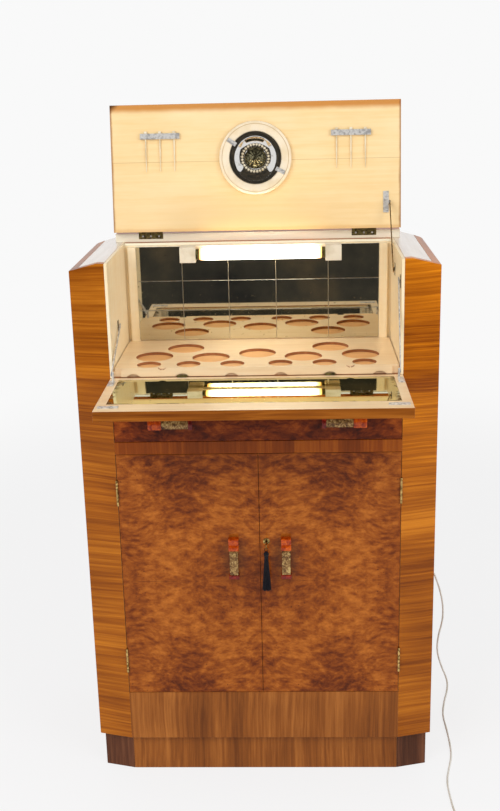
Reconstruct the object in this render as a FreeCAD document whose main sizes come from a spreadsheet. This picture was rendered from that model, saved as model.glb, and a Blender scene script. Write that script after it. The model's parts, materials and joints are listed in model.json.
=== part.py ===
import FreeCAD, Part
import math
import os
import Sketcher

# Cocktail cabinet: two doors and a drawer below, a mirrored bar with a lifting lid and a falling
# flap above. Millimetres. X runs to the right, Y to the back, Z up. The origin is the middle of
# the plinth's underside. The lid and the flap stand open, the doors and the drawer are shut.

SIZES = {
    # Whole cabinet
    "overall_width": 750,
    "wing_width": 75,
    "overall_depth": 390,
    "cant_setback": 20,
    "plinth_height": 90,
    "apron_top": 206,
    "door_rail_bottom": 770,
    "door_rail_top": 797,
    "drawer_opening_top": 881,
    "bar_level": 937,
    "wing_inner_top": 1174,
    "wing_fall": 17,
    "reveal": 1,
    "cut_over": 5,
    # Carcase boards
    "plinth_side_inset": 8,
    "plinth_front_inset": 17,
    "plinth_board": 16,
    "front_board": 18,
    "pilaster_board": 18,
    "side_board": 18,
    "back_corner_radius": 17,
    "wing_flat": 15,
    "wing_top_board": 24,
    "cupboard_wall": 14,
    "bar_wall": 6,
    "back_board": 6,
    "back_board_inset": 4,
    "shelf_board": 15,
    "shelf_height": 470,
    "shelf_setback": 30,
    "bearer_width": 10,
    "bearer_height": 12,
    "runner_board": 12,
    "bar_floor_board": 12,
    # Tray
    "tray_side_gap": 2,
    "tray_board": 6,
    "tray_depth": 246,
    "tray_rail_side_inset": 22,
    "tray_rail_board": 7,
    "tray_rail_clearance": 2.7,
    "tray_rail_bottom": 938,
    "tray_rail_lip": 1,
    "large_hole_radius": 39.5,
    "small_hole_radius": 25,
    "arch_width": 27,
    "arch_height": 6,
    "arch_spacing": 101,
    "finger_notch_width": 16,
    "finger_notch_depth": 4,
    "finger_notch_offset": 193,
    # Back mirror
    "mirror_side_inset": 26,
    "mirror_foot_gap": 1,
    "mirror_top_gap": 7,
    "mirror_face": 250,
    "mirror_thickness": 4,
    "mirror_joint": 1,
    "mirror_backing": 8,
    "mirror_post_width": 18,
    "mirror_post_depth": 10,
    # Lid
    "lid_axis_depth": 277,
    "lid_board": 18,
    "lid_length": 273,
    "lid_lean": 8,
    "lid_rest_gap": 0.2,
    # Flap
    "flap_board": 20,
    "flap_length": 234,
    "flap_side_gap": 0.75,
    "flap_mirror_side_inset": 20,
    "flap_mirror_front": 188,
    "flap_mirror_rear": 14,
    "flap_mirror_thickness": 4,
    "flap_mirror_sink": 0.3,
    # Butt hinges
    "knuckle_radius": 2.5,
    "knuckle_proud": 0.2,
    "hinge_pin_radius": 1.2,
    "pin_clearance": 0.05,
    "knuckle_gap": 0.3,
    "hinge_leaf": 1.2,
    "hinge_joint": 1.5,
    "door_hinge_length": 57,
    "door_hinge_leaf_depth": 14,
    "door_hinge_low": 259,
    "door_hinge_high": 656,
    "lid_hinge_length": 54,
    "lid_hinge_leaf_depth": 12,
    "lid_hinge_inset": 64,
    "flap_hinge_length": 20,
    "flap_hinge_leaf_depth": 13,
    # Doors and their lock
    "door_board": 17,
    "lock_width": 36,
    "lock_height": 56,
    "lock_thickness": 10,
    "keyhole_offset": 14,
    "keyhole_height": 571,
    "keyhole_radius": 2.6,
    "bolt_height": 10,
    "bolt_thickness": 5,
    "bolt_length": 22,
    "bolt_travel": 8,
    "bolt_clearance": 0.5,
    "escutcheon_radius": 7,
    "escutcheon_thickness": 1,
    "key_shaft_radius": 1.7,
    "key_reach": 24,
    "key_tail": 14,
    "key_bow_radius": 5.5,
    "key_bow_wire": 1.1,
    "tassel_loop_radius": 4,
    "tassel_cord_radius": 0.7,
    "tassel_hang": 0.3,
    "tassel_head_radius": 6,
    "tassel_neck_radius": 4.5,
    "tassel_skirt_length": 84,
    "tassel_skirt_radius": 11,
    # Handles
    "handle_width": 22,
    "handle_depth": 16,
    "handle_length": 93,
    "handle_orange": 28,
    "handle_red": 9,
    "strap_width": 18,
    "strap_thickness": 3,
    "strap_sink": 1.5,
    "door_handle_offset": 56,
    "door_handle_height": 535.5,
    "drawer_handle_inset": 120,
    "drawer_handle_height": 838.5,
    # Drawer
    "drawer_front_board": 17,
    "drawer_side_board": 10,
    "drawer_base_board": 5,
    "drawer_side_gap": 1.5,
    "drawer_running_gap": 0.3,
    "drawer_box_depth": 320,
    "drawer_box_height": 66,
    # Squeezer set in the lid
    "squeezer_height": 156,
    "ring_outer": 79,
    "ring_inner": 57,
    "ring_thickness": 12,
    "ring_bead": 5,
    "dish_rim": 56,
    "dish_bowl": 46,
    "dish_proud": 16,
    "dish_wall": 1.2,
    "reamer_radius": 25,
    "reamer_height": 20,
    "reamer_cone_radius": 14,
    "reamer_tip_radius": 3,
    "reamer_ribs": 10,
    "reamer_rib_width": 2,
    "reamer_rib_depth": 2.5,
    "clip_length": 20,
    "clip_width": 9,
    "clip_thickness": 1.2,
    "clip_lift": 0.3,
    "clip_pivot_radius": 67,
    "clip_tongue_radius": 50,
    "clip_upper_turn": 146,
    "clip_lower_turn": -28,
    "clip_screw_radius": 1.5,
    "clip_screw_head": 3,
    "clip_screw_head_height": 1.4,
    # Cocktail sticks in the lid
    "holder_inset": 93,
    "holder_height": 206,
    "holder_width": 86,
    "holder_bar": 12,
    "holder_depth": 7,
    "stick_spacing": 31,
    "stick_radius": 1.6,
    "stick_head_radius": 3,
    "stick_head_height": 5,
    "stick_length": 82,
    "stick_point": 34,
    "stick_clearance": 0.05,
    # Lamp under the back rail
    "lamp_offset": 8,
    "lamp_drop": 21,
    "lamp_depth": 224,
    "lamp_tube_radius": 13,
    "lamp_tube_length": 266,
    "lamp_cap_radius": 12,
    "lamp_cap_length": 8,
    "lamp_holder_width": 35,
    "lamp_holder_height": 34,
    "lamp_holder_depth": 24,
    "lamp_base_height": 24,
    "lamp_base_thickness": 12,
    # Stays
    "stay_inset": 4,
    "stay_thickness": 2,
    "stay_width": 7,
    "stay_slot": 2.4,
    "stay_pin_radius": 1.75,
    "stay_stud_radius": 4,
    "stay_plate_width": 14,
    "stay_plate_height": 26,
    "stay_plate": 1,
    "stay_gap": 0.5,
    "ear_thickness": 3,
    "ear_radius": 6,
    "lid_ear_height": 57,
    "lid_ear_reach": 10,
    "lid_plate_length": 46,
    "lid_plate_width": 12,
    "fitting_plate": 2,
    "flap_pin_front": 44,
    "flap_pin_rise": 16.3,
    "flap_plate_length": 34,
    "corner_plate_length": 40,
    "corner_plate_width": 11,
    "corner_plate_front": 20,
    "corner_screw_radius": 3.5,
    "corner_screw_height": 0.4,
    "lid_stud_depth": 150,
    "lid_stud_height": 1127,
    "right_stud_depth": 20,
    "right_stud_height": 1125,
    "left_stud_depth": 105,
    "left_stud_height": 1022,
    "stay_tail": 5,
    # Cord
    "cord_radius": 2.2,
    "gland_inset": 55,
    "gland_height": 420,
    "gland_radius": 8,
    "gland_length": 9,
    "gland_flange_radius": 11,
    "gland_flange": 2,
    "relief_length": 26,
    "relief_radius": 4.5,
    "coil_radius": 24,
    "coil_pitch": 6,
    "coil_turns": 5,
    "plug_length": 44,
    "plug_width": 34,
    "plug_height": 22,
    "plug_pin_length": 18,
    "plug_pin_width": 6,
    "plug_pin_thickness": 4,
    "plug_pin_offset": 11,
}

doc = FreeCAD.newDocument("cocktail_cabinet")
sheet = doc.addObject("Spreadsheet::Sheet", "sizes")
for row, (alias, amount) in enumerate(SIZES.items(), start=1):
    sheet.set(f"A{row}", str(amount))
    sheet.setAlias(f"A{row}", alias)
doc.recompute()


class Size:
    """A length or angle that also knows the sheet expression it comes from."""

    def __init__(self, value, text=None):
        self.value = float(value)
        self.text = text or repr(float(value))

    def __float__(self):
        return self.value

    def __add__(self, other):
        other = as_size(other)
        return Size(self.value + other.value, f"({self.text} + {other.text})")

    def __sub__(self, other):
        other = as_size(other)
        return Size(self.value - other.value, f"({self.text} - {other.text})")

    def __mul__(self, other):
        other = as_size(other)
        return Size(self.value * other.value, f"({self.text} * {other.text})")

    def __truediv__(self, other):
        other = as_size(other)
        return Size(self.value / other.value, f"({self.text} / {other.text})")

    def __neg__(self):
        return Size(-self.value, f"(0 - {self.text})")

    def __rsub__(self, other):
        return as_size(other) - self

    __radd__ = __add__
    __rmul__ = __mul__


def as_size(number):
    return number if isinstance(number, Size) else Size(number)


class Sheet:
    """The sheet's cells by name."""

    def __getattr__(self, alias):
        return Size(sheet.get(alias), f"sizes.{alias}")


s = Sheet()


def root(size):
    return Size(math.sqrt(size.value), f"sqrt({size.text})")


def vector(x, y, z):
    return FreeCAD.Vector(float(x), float(y), float(z))


def place(item, x=0, y=0, z=0, axis=None, turn=None):
    """Sets the placement, with the base and the turn bound to the sheet."""
    spin = FreeCAD.Rotation(axis, float(turn)) if axis else item.Placement.Rotation
    item.Placement = FreeCAD.Placement(vector(x, y, z), spin)
    for letter, size in zip("xyz", (x, y, z)):
        item.setExpression(f"Placement.Base.{letter}", as_size(size).text)
    if isinstance(turn, Size):
        item.setExpression("Placement.Rotation.Angle", turn.text)
    return item


def board(name, x, y, z):
    """A flat board between two places on each axis."""
    item = doc.addObject("Part::Box", name)
    for side, (low, high) in zip(("Length", "Width", "Height"), (x, y, z)):
        item.setExpression(side, (as_size(high) - low).text)
    return place(item, x[0], y[0], z[0])


AXES = {"x": FreeCAD.Vector(0, 1, 0), "y": FreeCAD.Vector(-1, 0, 0), "z": None}


def rod(name, radius, length, x, y, z, along="z"):
    """A round rod from a point along one axis."""
    item = doc.addObject("Part::Cylinder", name)
    item.setExpression("Radius", as_size(radius).text)
    item.setExpression("Height", as_size(length).text)
    return place(item, x, y, z, AXES[along], 90 if AXES[along] else None)


def cone(name, low_radius, high_radius, length, x, y, z, along="z"):
    item = doc.addObject("Part::Cone", name)
    item.setExpression("Radius1", as_size(low_radius).text)
    item.setExpression("Radius2", as_size(high_radius).text)
    item.setExpression("Height", as_size(length).text)
    return place(item, x, y, z, AXES[along], 90 if AXES[along] else None)


def fused(name, *items):
    item = doc.addObject("Part::MultiFuse", name)
    item.Shapes = list(items)
    return item


def together(name, *items):
    """Separate solids that share one node."""
    item = doc.addObject("Part::Compound", name)
    item.Links = list(items)
    return item


def without(name, base, *tools):
    item = doc.addObject("Part::Cut", name)
    item.Base = base
    item.Tool = tools[0] if len(tools) == 1 else together(name + "_tools", *tools)
    return item


def mirrored(name, item):
    """The same piece on the other side of the cabinet."""
    twin = doc.addObject("Part::Mirroring", name)
    twin.Source = item
    twin.Normal = FreeCAD.Vector(1, 0, 0)
    return twin


def both_sides(name, item):
    return together(name, item, mirrored(name + "_twin", item))


def shaped(name, shape, x=0, y=0, z=0):
    """A piece whose outline no single feature gives."""
    item = doc.addObject("Part::Feature", name)
    item.Shape = shape
    return place(item, x, y, z)


def body_plane(body, role):
    return next(item for item in body.Origin.OriginFeatures if item.Role == role)


def outline(body, name, role, points, offset=0):
    """A closed sketch whose corners are bound to the sheet."""
    sketch = body.newObject("Sketcher::SketchObject", name)
    sketch.AttachmentSupport = [(body_plane(body, role), "")]
    sketch.MapMode = "FlatFace"
    sketch.setExpression("AttachmentOffset.Base.z", as_size(offset).text)
    count = len(points)
    for index, point in enumerate(points):
        following = points[(index + 1) % count]
        sketch.addGeometry(Part.LineSegment(vector(*point, 0), vector(*following, 0)))
    for index in range(count):
        sketch.addConstraint(Sketcher.Constraint("Coincident", index, 2, (index + 1) % count, 1))
    for index, point in enumerate(points):
        for kind, size in zip(("DistanceX", "DistanceY"), point):
            size = as_size(size)
            number = sketch.addConstraint(Sketcher.Constraint(kind, -1, 1, index, 1, size.value))
            sketch.setExpression(f"Constraints[{number}]", size.text)
    return sketch


def pad(name, points, low, high):
    """A body with one outline seen from above, between two heights."""
    body = doc.addObject("PartDesign::Body", name)
    feature = body.newObject("PartDesign::Pad", name + "_pad")
    feature.Profile = outline(body, name + "_plan", "XY_Plane", points, low)
    feature.setExpression("Length", (as_size(high) - low).text)
    doc.recompute()
    return body


def round_edge(body, x, y, radius):
    """Rounds the upright edge that stands over one point of the plan."""
    tip = body.Tip
    edges = tip.Shape.Edges
    names = [f"Edge{number}" for number, edge in enumerate(edges, start=1)
             if all(abs(end.X - float(x)) + abs(end.Y - float(y)) < 1e-3 for end in edge.Vertexes)]
    fillet = body.newObject("PartDesign::Fillet", body.Name + "_round")
    fillet.Base = (tip, names)
    fillet.setExpression("Radius", radius.text)
    body.Tip = fillet
    doc.recompute()


def pocket_across(body, points):
    """Cuts an outline seen from the front right through the body."""
    before = body.Tip.Shape.Volume
    cut = body.newObject("PartDesign::Pocket", body.Name + "_pocket")
    cut.Profile = outline(body, body.Name + "_front", "XZ_Plane", points)
    cut.Type = "Length"
    cut.Midplane = True
    cut.setExpression("Length", (s.overall_depth * 2).text)
    body.Tip = cut
    doc.recompute()
    if cut.Shape.Volume >= before:
        raise RuntimeError(body.Name + " was not cut")


nodes = {}


def keep(item, name=None):
    """Names a finished piece: its label becomes its file."""
    label = name or item.Name
    item.Label = label
    nodes[label] = item
    return item


half_width = s.overall_width / 2
half_front = half_width - s.wing_width
front = -s.overall_depth / 2
back = s.overall_depth / 2
cant_slope = s.cant_setback / s.wing_width
side_inside = half_width - s.side_board
pilaster_back = front + s.pilaster_board * root(1 + cant_slope * cant_slope)
carcase_back = back - s.back_board_inset - s.back_board
wall_inside = half_front - s.cupboard_wall
bar_inside = half_front - s.bar_wall
lid_half = half_front + s.wing_flat
stay_plane = bar_inside - s.stay_inset
bar_floor_top = s.bar_level + s.bar_floor_board
tray_top = bar_floor_top + s.tray_board
tray_rail_front = front + s.tray_rail_clearance
tray_rail_back = tray_rail_front + s.tray_rail_board
mirror_top = s.wing_inner_top - s.mirror_top_gap
lamp_z = s.wing_inner_top - s.lamp_drop
gland_place = half_width - s.gland_inset
board_back = front + s.front_board
lid_axis_y = front + s.lid_axis_depth
lid_axis_z = s.wing_inner_top + s.lid_rest_gap + s.lid_board + s.knuckle_radius + s.knuckle_proud
flap_axis_z = s.bar_level + s.knuckle_radius + s.knuckle_proud
lid_rear_rail = lid_axis_y + s.hinge_joint / 2


def slope_cut():
    """The space over the wing's top, seen from the front."""
    start = half_front + s.wing_flat
    fall = s.wing_fall / (half_width - start)
    low = s.wing_inner_top - s.wing_fall - fall * s.cut_over
    high = s.wing_inner_top + s.cut_over
    outer = half_width + s.cut_over
    return [(start, s.wing_inner_top), (outer, low), (outer, high), (start, high)]


def plinth():
    inner = half_front
    outer = half_width - s.plinth_side_inset
    front_y = front + s.plinth_front_inset
    corner_y = front_y + cant_slope * (outer - inner)
    rear_y = back - s.plinth_side_inset
    thick = s.plinth_board
    corner = pad("plinth_corner", [
        (inner, front_y), (outer, corner_y), (outer, rear_y), (outer - thick, rear_y),
        (outer - thick, corner_y + thick), (inner, front_y + thick)], 0, s.plinth_height)
    face = board("plinth_front", (-inner, inner), (front_y, front_y + thick), (0, s.plinth_height))
    rear = board("plinth_back", (thick - outer, outer - thick), (rear_y - thick, rear_y),
                 (0, s.plinth_height))
    middle = board("plinth_middle", (-thick / 2, thick / 2), (front_y + thick, rear_y - thick),
                   (0, s.plinth_height))
    keep(together("plinth_boards", face, rear, middle, corner,
                  mirrored("plinth_corner_twin", corner)))


def door_hinge_recesses(name, x_low, x_high):
    """Two housings for hinge leaves in an upright edge."""
    reach = front + s.door_hinge_leaf_depth
    return [board(f"{name}_{low.text[6:]}", (x_low, x_high), (front - s.cut_over, reach),
                  (low, low + s.door_hinge_length))
            for low in (s.door_hinge_low, s.door_hinge_high)]


def wings():
    low = s.plinth_height
    mitre_y = pilaster_back + cant_slope * (side_inside - half_front)
    pilaster = pad("pilaster_body", [
        (half_front, front), (half_width, front + s.cant_setback), (side_inside, mitre_y),
        (half_front, pilaster_back)], low, s.wing_inner_top)
    pocket_across(pilaster, slope_cut())
    housings = door_hinge_recesses("pilaster_housing", half_front - s.cut_over,
                                   half_front + s.hinge_leaf)
    right = without("pilaster_right", pilaster, *housings)
    keep(both_sides("pilasters", right))

    side = pad("side_body", [
        (half_width, front + s.cant_setback), (half_width, back), (side_inside, back),
        (side_inside, mitre_y)], low, s.wing_inner_top)
    round_edge(side, half_width, back, s.back_corner_radius)
    pocket_across(side, slope_cut())
    keep(both_sides("side_panels", side))

    top = pad("wing_top_body", [
        (half_front, pilaster_back), (side_inside, mitre_y), (side_inside, back),
        (half_front, back)], s.wing_inner_top - s.wing_top_board, s.wing_inner_top)
    pocket_across(top, slope_cut())
    keep(both_sides("wing_tops", top))


def carcase():
    face = (front, board_back)
    inside = (board_back, carcase_back)
    across = (-half_front, half_front)
    keep(board("apron_panel", across, face, (s.plinth_height, s.apron_top)))
    keep(board("cupboard_floor", (-wall_inside, wall_inside), inside,
               (s.apron_top - s.front_board, s.apron_top)))
    wall = board("cupboard_wall", (wall_inside, half_front), inside,
                 (s.plinth_height, s.bar_level))
    keep(both_sides("cupboard_walls", wall))
    keep(board("door_rail", across, face, (s.door_rail_bottom, s.door_rail_top)))
    keep(board("runner_board", (-wall_inside, wall_inside), inside,
               (s.door_rail_top - s.runner_board, s.door_rail_top)))
    keep(board("bar_floor", (-bar_inside, bar_inside), (tray_rail_back, carcase_back),
               (s.bar_level, bar_floor_top)))
    below_wings = s.wing_inner_top - s.wing_top_board
    panel = board("back_panel_board", (-side_inside, side_inside),
                  (carcase_back, carcase_back + s.back_board), (s.plinth_height, below_wings))
    hole = rod("gland_hole", s.gland_radius, s.back_board + s.cut_over * 2, gland_place,
               carcase_back - s.cut_over, s.gland_height, "y")
    keep(without("back_panel", panel, hole))
    shelf_back = carcase_back - s.shelf_setback
    shelf_low = s.shelf_height - s.shelf_board
    keep(board("cupboard_shelf", (-wall_inside, wall_inside),
               (board_back + s.shelf_setback, shelf_back), (shelf_low, s.shelf_height)))
    bearer = board("shelf_bearer", (wall_inside - s.bearer_width, wall_inside),
                   (board_back + s.shelf_setback, shelf_back), (shelf_low - s.bearer_height, shelf_low))
    keep(both_sides("bearers", bearer))


def hinge_rail():
    """The fixed rail over the drawer, with the flap hinges let into its face."""
    rail_front = front + s.hinge_joint / 2
    rail = board("hinge_rail_board", (-half_front, half_front), (rail_front, board_back),
                 (s.drawer_opening_top, s.bar_level))
    housings = [board(f"rail_housing_{side}", flap_hinge_span(side),
                      (rail_front - s.cut_over, rail_front + s.hinge_leaf),
                      (s.bar_level - s.flap_hinge_leaf_depth, s.bar_level + s.cut_over))
                for side in (-1, 1)]
    keep(without("hinge_rail", rail, *housings))


def flap_hinge_span(side):
    """Each flap hinge sits under one arch of the tray's rail."""
    middle = s.arch_spacing * 1.5 * side
    return (middle - s.flap_hinge_length / 2, middle + s.flap_hinge_length / 2)


def lid_hinge_span(side):
    middle = (half_front - s.lid_hinge_inset) * side
    return (middle - s.lid_hinge_length / 2, middle + s.lid_hinge_length / 2)


def bar_walls():
    wall = board("bar_wall", (bar_inside, half_front), (front, carcase_back),
                 (s.bar_level, s.wing_inner_top))
    keep(both_sides("bar_walls", wall))


def rear_top():
    """The fixed strip behind the lid and the rail under it, with the lid hinges let in."""
    high = s.wing_inner_top + s.lid_rest_gap + s.lid_board
    top = board("rear_strip", (-lid_half, lid_half), (lid_rear_rail, back),
                (s.wing_inner_top, high))
    housings = [board(f"strip_housing_{side}", lid_hinge_span(side),
                      (lid_rear_rail - s.cut_over, lid_rear_rail + s.hinge_leaf),
                      (high - s.lid_hinge_leaf_depth, high + s.cut_over)) for side in (-1, 1)]
    rail = board("rear_upper_rail", (-bar_inside, bar_inside),
                 (front + s.mirror_face + s.mirror_thickness + s.mirror_backing, carcase_back),
                 (s.wing_inner_top - s.wing_top_board, s.wing_inner_top))
    keep(together("rear_top_boards", without("rear_strip_housed", top, *housings), rail))


LARGE_HOLE_SHARES = ((-0.75, 0.42), (-0.335, 0.37), (0, 0.5), (0.335, 0.37), (0.75, 0.42),
                     (-0.54, 0.7), (0.54, 0.7))
SMALL_HOLE_SHARES = ((-0.765, 0.15), (-0.483, 0.15), (-0.171, 0.15), (0.171, 0.15),
                     (0.483, 0.15), (0.765, 0.15))


def tray():
    half = bar_inside - s.tray_side_gap
    plate = board("tray_plate", (-half, half), (tray_rail_back, front + s.tray_depth),
                  (bar_floor_top, tray_top))
    holes = []
    for kind, radius, shares in (("large", s.large_hole_radius, LARGE_HOLE_SHARES),
                                 ("small", s.small_hole_radius, SMALL_HOLE_SHARES)):
        for number, (x_share, y_share) in enumerate(shares, start=1):
            holes.append(rod(f"{kind}_hole_{number}", radius, s.tray_board + s.cut_over * 2,
                             half * x_share, front + s.tray_depth * y_share,
                             bar_floor_top - s.cut_over))
    keep(without("glass_tray", plate, *holes))

    rail_half = half_front - s.tray_rail_side_inset
    rail = board("tray_rail_board", (-rail_half, rail_half), (tray_rail_front, tray_rail_back),
                 (s.tray_rail_bottom, tray_top + s.tray_rail_lip))
    cuts = [notch(f"arch_{number}", s.arch_spacing * (number - 2.5), s.tray_rail_bottom,
                  s.arch_width, s.arch_height, tray_rail_front, 1) for number in range(6)]
    cuts += [notch(f"finger_notch_{side}", s.finger_notch_offset * side,
                   tray_top + s.tray_rail_lip, s.finger_notch_width, s.finger_notch_depth,
                   tray_rail_front, -1) for side in (-1, 1)]
    keep(without("tray_rail", rail, *cuts))


def notch(name, x, edge, width, height, y, direction):
    """A round-topped cut of a given width and height into a horizontal edge."""
    radius = (width * width / 4 + height * height) / (height * 2)
    return rod(name, radius, s.tray_rail_board + s.cut_over * 2, x, y - s.cut_over,
               edge + (height - radius) * direction, "y")


# The tiles' upright and level joints, as shares of the mirror's width and height.
MIRROR_COLUMN_SHARES = (0, 0.188, 0.379, 0.575, 0.791, 1)
MIRROR_ROW_SHARES = (0, 0.322, 0.635, 1)


def back_mirror():
    face = front + s.mirror_face
    half = bar_inside - s.mirror_side_inset
    mirror_bottom = tray_top + s.mirror_foot_gap
    tall = mirror_top - mirror_bottom
    joint = s.mirror_joint / 2
    columns = [half * 2 * share - half for share in MIRROR_COLUMN_SHARES]
    rows = [mirror_bottom + tall * share for share in MIRROR_ROW_SHARES]
    tiles = []
    for column, (left, right) in enumerate(zip(columns, columns[1:])):
        for row, (low, high) in enumerate(zip(rows, rows[1:])):
            tiles.append(board(f"mirror_tile_{column}_{row}", (left + joint, right - joint),
                               (face, face + s.mirror_thickness), (low + joint, high - joint)))
    keep(together("mirror_tiles", *tiles))
    behind = face + s.mirror_thickness
    backing = board("mirror_backing", (-bar_inside, bar_inside), (behind, behind + s.mirror_backing),
                    (bar_floor_top, s.wing_inner_top - s.cut_over))
    post = board("mirror_post", (half, half + s.mirror_post_width),
                 (behind - s.mirror_post_depth, behind), (tray_top, mirror_top))
    keep(together("mirror_frame", backing, both_sides("mirror_posts", post)))


def lamp():
    half = s.lamp_tube_length / 2
    reach = half + s.lamp_cap_length + s.lamp_holder_width
    low = lamp_z + s.lamp_holder_height / 2 - s.lamp_base_height
    base = board("lamp_base", (s.lamp_offset - reach, s.lamp_offset + reach),
                 (front + s.mirror_face - s.lamp_base_thickness, front + s.mirror_face),
                 (low, low + s.lamp_base_height))
    axis_y = front + s.lamp_depth
    holders = []
    caps = []
    for side, name in ((-1, "left"), (1, "right")):
        inner = s.lamp_offset + (half + s.lamp_cap_length) * side
        outer = s.lamp_offset + reach * side
        span = (inner, outer) if side > 0 else (outer, inner)
        holders.append(board(f"lamp_holder_{name}", span,
                             (axis_y - s.lamp_holder_depth / 2,
                              front + s.mirror_face - s.lamp_base_thickness),
                             (lamp_z - s.lamp_holder_height / 2,
                              lamp_z + s.lamp_holder_height / 2)))
        start = s.lamp_offset + half if side > 0 else inner
        caps.append(rod(f"lamp_cap_{name}", s.lamp_cap_radius, s.lamp_cap_length, start, axis_y,
                        lamp_z, "x"))
    keep(together("lamp_fitting", base, *holders))
    glass = rod("lamp_glass", s.lamp_tube_radius, s.lamp_tube_length, s.lamp_offset - half, axis_y,
                lamp_z, "x")
    keep(together("lamp_tube", glass, *caps))


def hinge(name, length, leaf_depth, joint):
    """A butt hinge along Z whose shut leaves lie side by side toward +Y.

    The fixed leaf is on the -X side. Returns the fixed leaf, the moving leaf and the pin.
    """
    third = length / 3
    start = s.knuckle_radius / 2
    inner = joint / 2

    def knuckle(part, low, high):
        tube = rod(f"{name}_{part}", s.knuckle_radius, high - low, 0, 0, low)
        bore = rod(f"{name}_{part}_bore", s.hinge_pin_radius + s.pin_clearance,
                   high - low + s.cut_over * 2, 0, 0, low - s.cut_over)
        return without(f"{name}_{part}_knuckle", tube, bore)

    def neck(part, x, low, high):
        return board(f"{name}_{part}_neck", x, (start, s.knuckle_radius + s.knuckle_proud), (low, high))

    fixed_x = (-inner - s.hinge_leaf, -inner)
    moving_x = (inner, inner + s.hinge_leaf)
    top = length - third
    leaf_start = s.knuckle_radius + s.knuckle_proud
    fixed = fused(name + "_fixed",
                  board(name + "_fixed_leaf", fixed_x, (leaf_start, leaf_start + leaf_depth), (0, length)),
                  neck("fixed_low", fixed_x, 0, third), knuckle("fixed_low", 0, third),
                  neck("fixed_high", fixed_x, top, length), knuckle("fixed_high", top, length))
    gap = s.knuckle_gap
    moving = fused(name + "_moving",
                   board(name + "_moving_leaf", moving_x, (leaf_start, leaf_start + leaf_depth),
                         (0, length)),
                   neck("moving", moving_x, third + gap, top - gap),
                   knuckle("moving", third + gap, top - gap))
    pin = rod(name + "_pin", s.hinge_pin_radius, length, 0, 0, 0)
    return fixed, moving, pin


def set_along_x(item, name, x, y, z, turn=0):
    """Lays a hinge piece along X, its leaves hanging down, then turns it about its pin."""
    holder = together(name, item)
    base = FreeCAD.Rotation(FreeCAD.Vector(0, -1, 0), FreeCAD.Vector(0, 0, -1), FreeCAD.Vector(1, 0, 0))
    turned = FreeCAD.Rotation(FreeCAD.Vector(1, 0, 0), float(turn)).multiply(base)
    holder.Placement = FreeCAD.Placement(vector(x, y, z), turned)
    for letter, size in zip("xyz", (x, y, z)):
        holder.setExpression(f"Placement.Base.{letter}", as_size(size).text)
    return holder


fixed_leaves = []
hinge_pins = []


def hinges():
    axis_y = front - s.knuckle_radius - s.knuckle_proud
    fixed, moving, pin = hinge("door_hinge", s.door_hinge_length,
                               s.door_hinge_leaf_depth, s.reveal)
    door_leaves = []
    for low, label in ((s.door_hinge_low, "low"), (s.door_hinge_high, "high")):
        for item, group in ((fixed, fixed_leaves), (moving, door_leaves), (pin, hinge_pins)):
            left = place(together(f"{item.Name}_{label}", item),
                         s.reveal / 2 - half_front, axis_y, low)
            group.append(left)
            if group is not door_leaves:
                group.append(mirrored(f"{item.Name}_{label}_twin", left))
    keep(together("door_left_hinge_leaves", *door_leaves))
    keep(mirrored("door_right_hinge_leaves", nodes["door_left_hinge_leaves"]))

    fixed, moving, pin = hinge("lid_hinge", s.lid_hinge_length, s.lid_hinge_leaf_depth, s.hinge_joint)
    lid_leaves = []
    for side in (-1, 1):
        start = lid_hinge_span(side)[0]
        fixed_leaves.append(set_along_x(fixed, f"lid_fixed_{side}", start, lid_axis_y, lid_axis_z))
        hinge_pins.append(set_along_x(pin, f"lid_pin_{side}", start, lid_axis_y, lid_axis_z))
        lid_leaves.append(set_along_x(moving, f"lid_moving_{side}", start, lid_axis_y, lid_axis_z,
                                      -90 - s.lid_lean))
    keep(together("lid_hinge_leaves", *lid_leaves))

    fixed, moving, pin = hinge("flap_hinge", s.flap_hinge_length, s.flap_hinge_leaf_depth,
                               s.hinge_joint)
    flap_leaves = []
    for side in (-1, 1):
        start = flap_hinge_span(side)[0]
        fixed_leaves.append(set_along_x(fixed, f"flap_fixed_{side}", start, front, flap_axis_z))
        hinge_pins.append(set_along_x(pin, f"flap_pin_{side}", start, front, flap_axis_z))
        flap_leaves.append(set_along_x(moving, f"flap_moving_{side}", start, front, flap_axis_z))
    keep(together("flap_hinge_leaves", *flap_leaves))
    keep(together("fixed_hinge_leaves", *fixed_leaves))
    keep(together("hinge_pins", *hinge_pins))


def handle(name, x, z, run, direction):
    """Two bakelite blocks and the metal strap between them; the long block leads."""
    half = s.handle_length / 2

    def span(low, high):
        return (low, high) if direction > 0 else (-high, -low)

    def block(part, low, high, width, y):
        ends = span(low, high)
        side = (-width / 2, width / 2)
        x_span, z_span = (ends, side) if run == "x" else (side, ends)
        return board(f"{name}_{part}", (x + x_span[0], x + x_span[1]), y,
                     (z + z_span[0], z + z_span[1]))

    proud = (front - s.handle_depth, front)
    orange = block("orange", half - s.handle_orange, half, s.handle_width, proud)
    red = block("red", -half, s.handle_red - half, s.handle_width, proud)
    outer = front - s.handle_depth + s.strap_sink
    strap = block("strap", s.handle_red - half, half - s.handle_orange, s.strap_width,
                  (outer, outer + s.strap_thickness))
    return [orange, red, strap]


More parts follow.
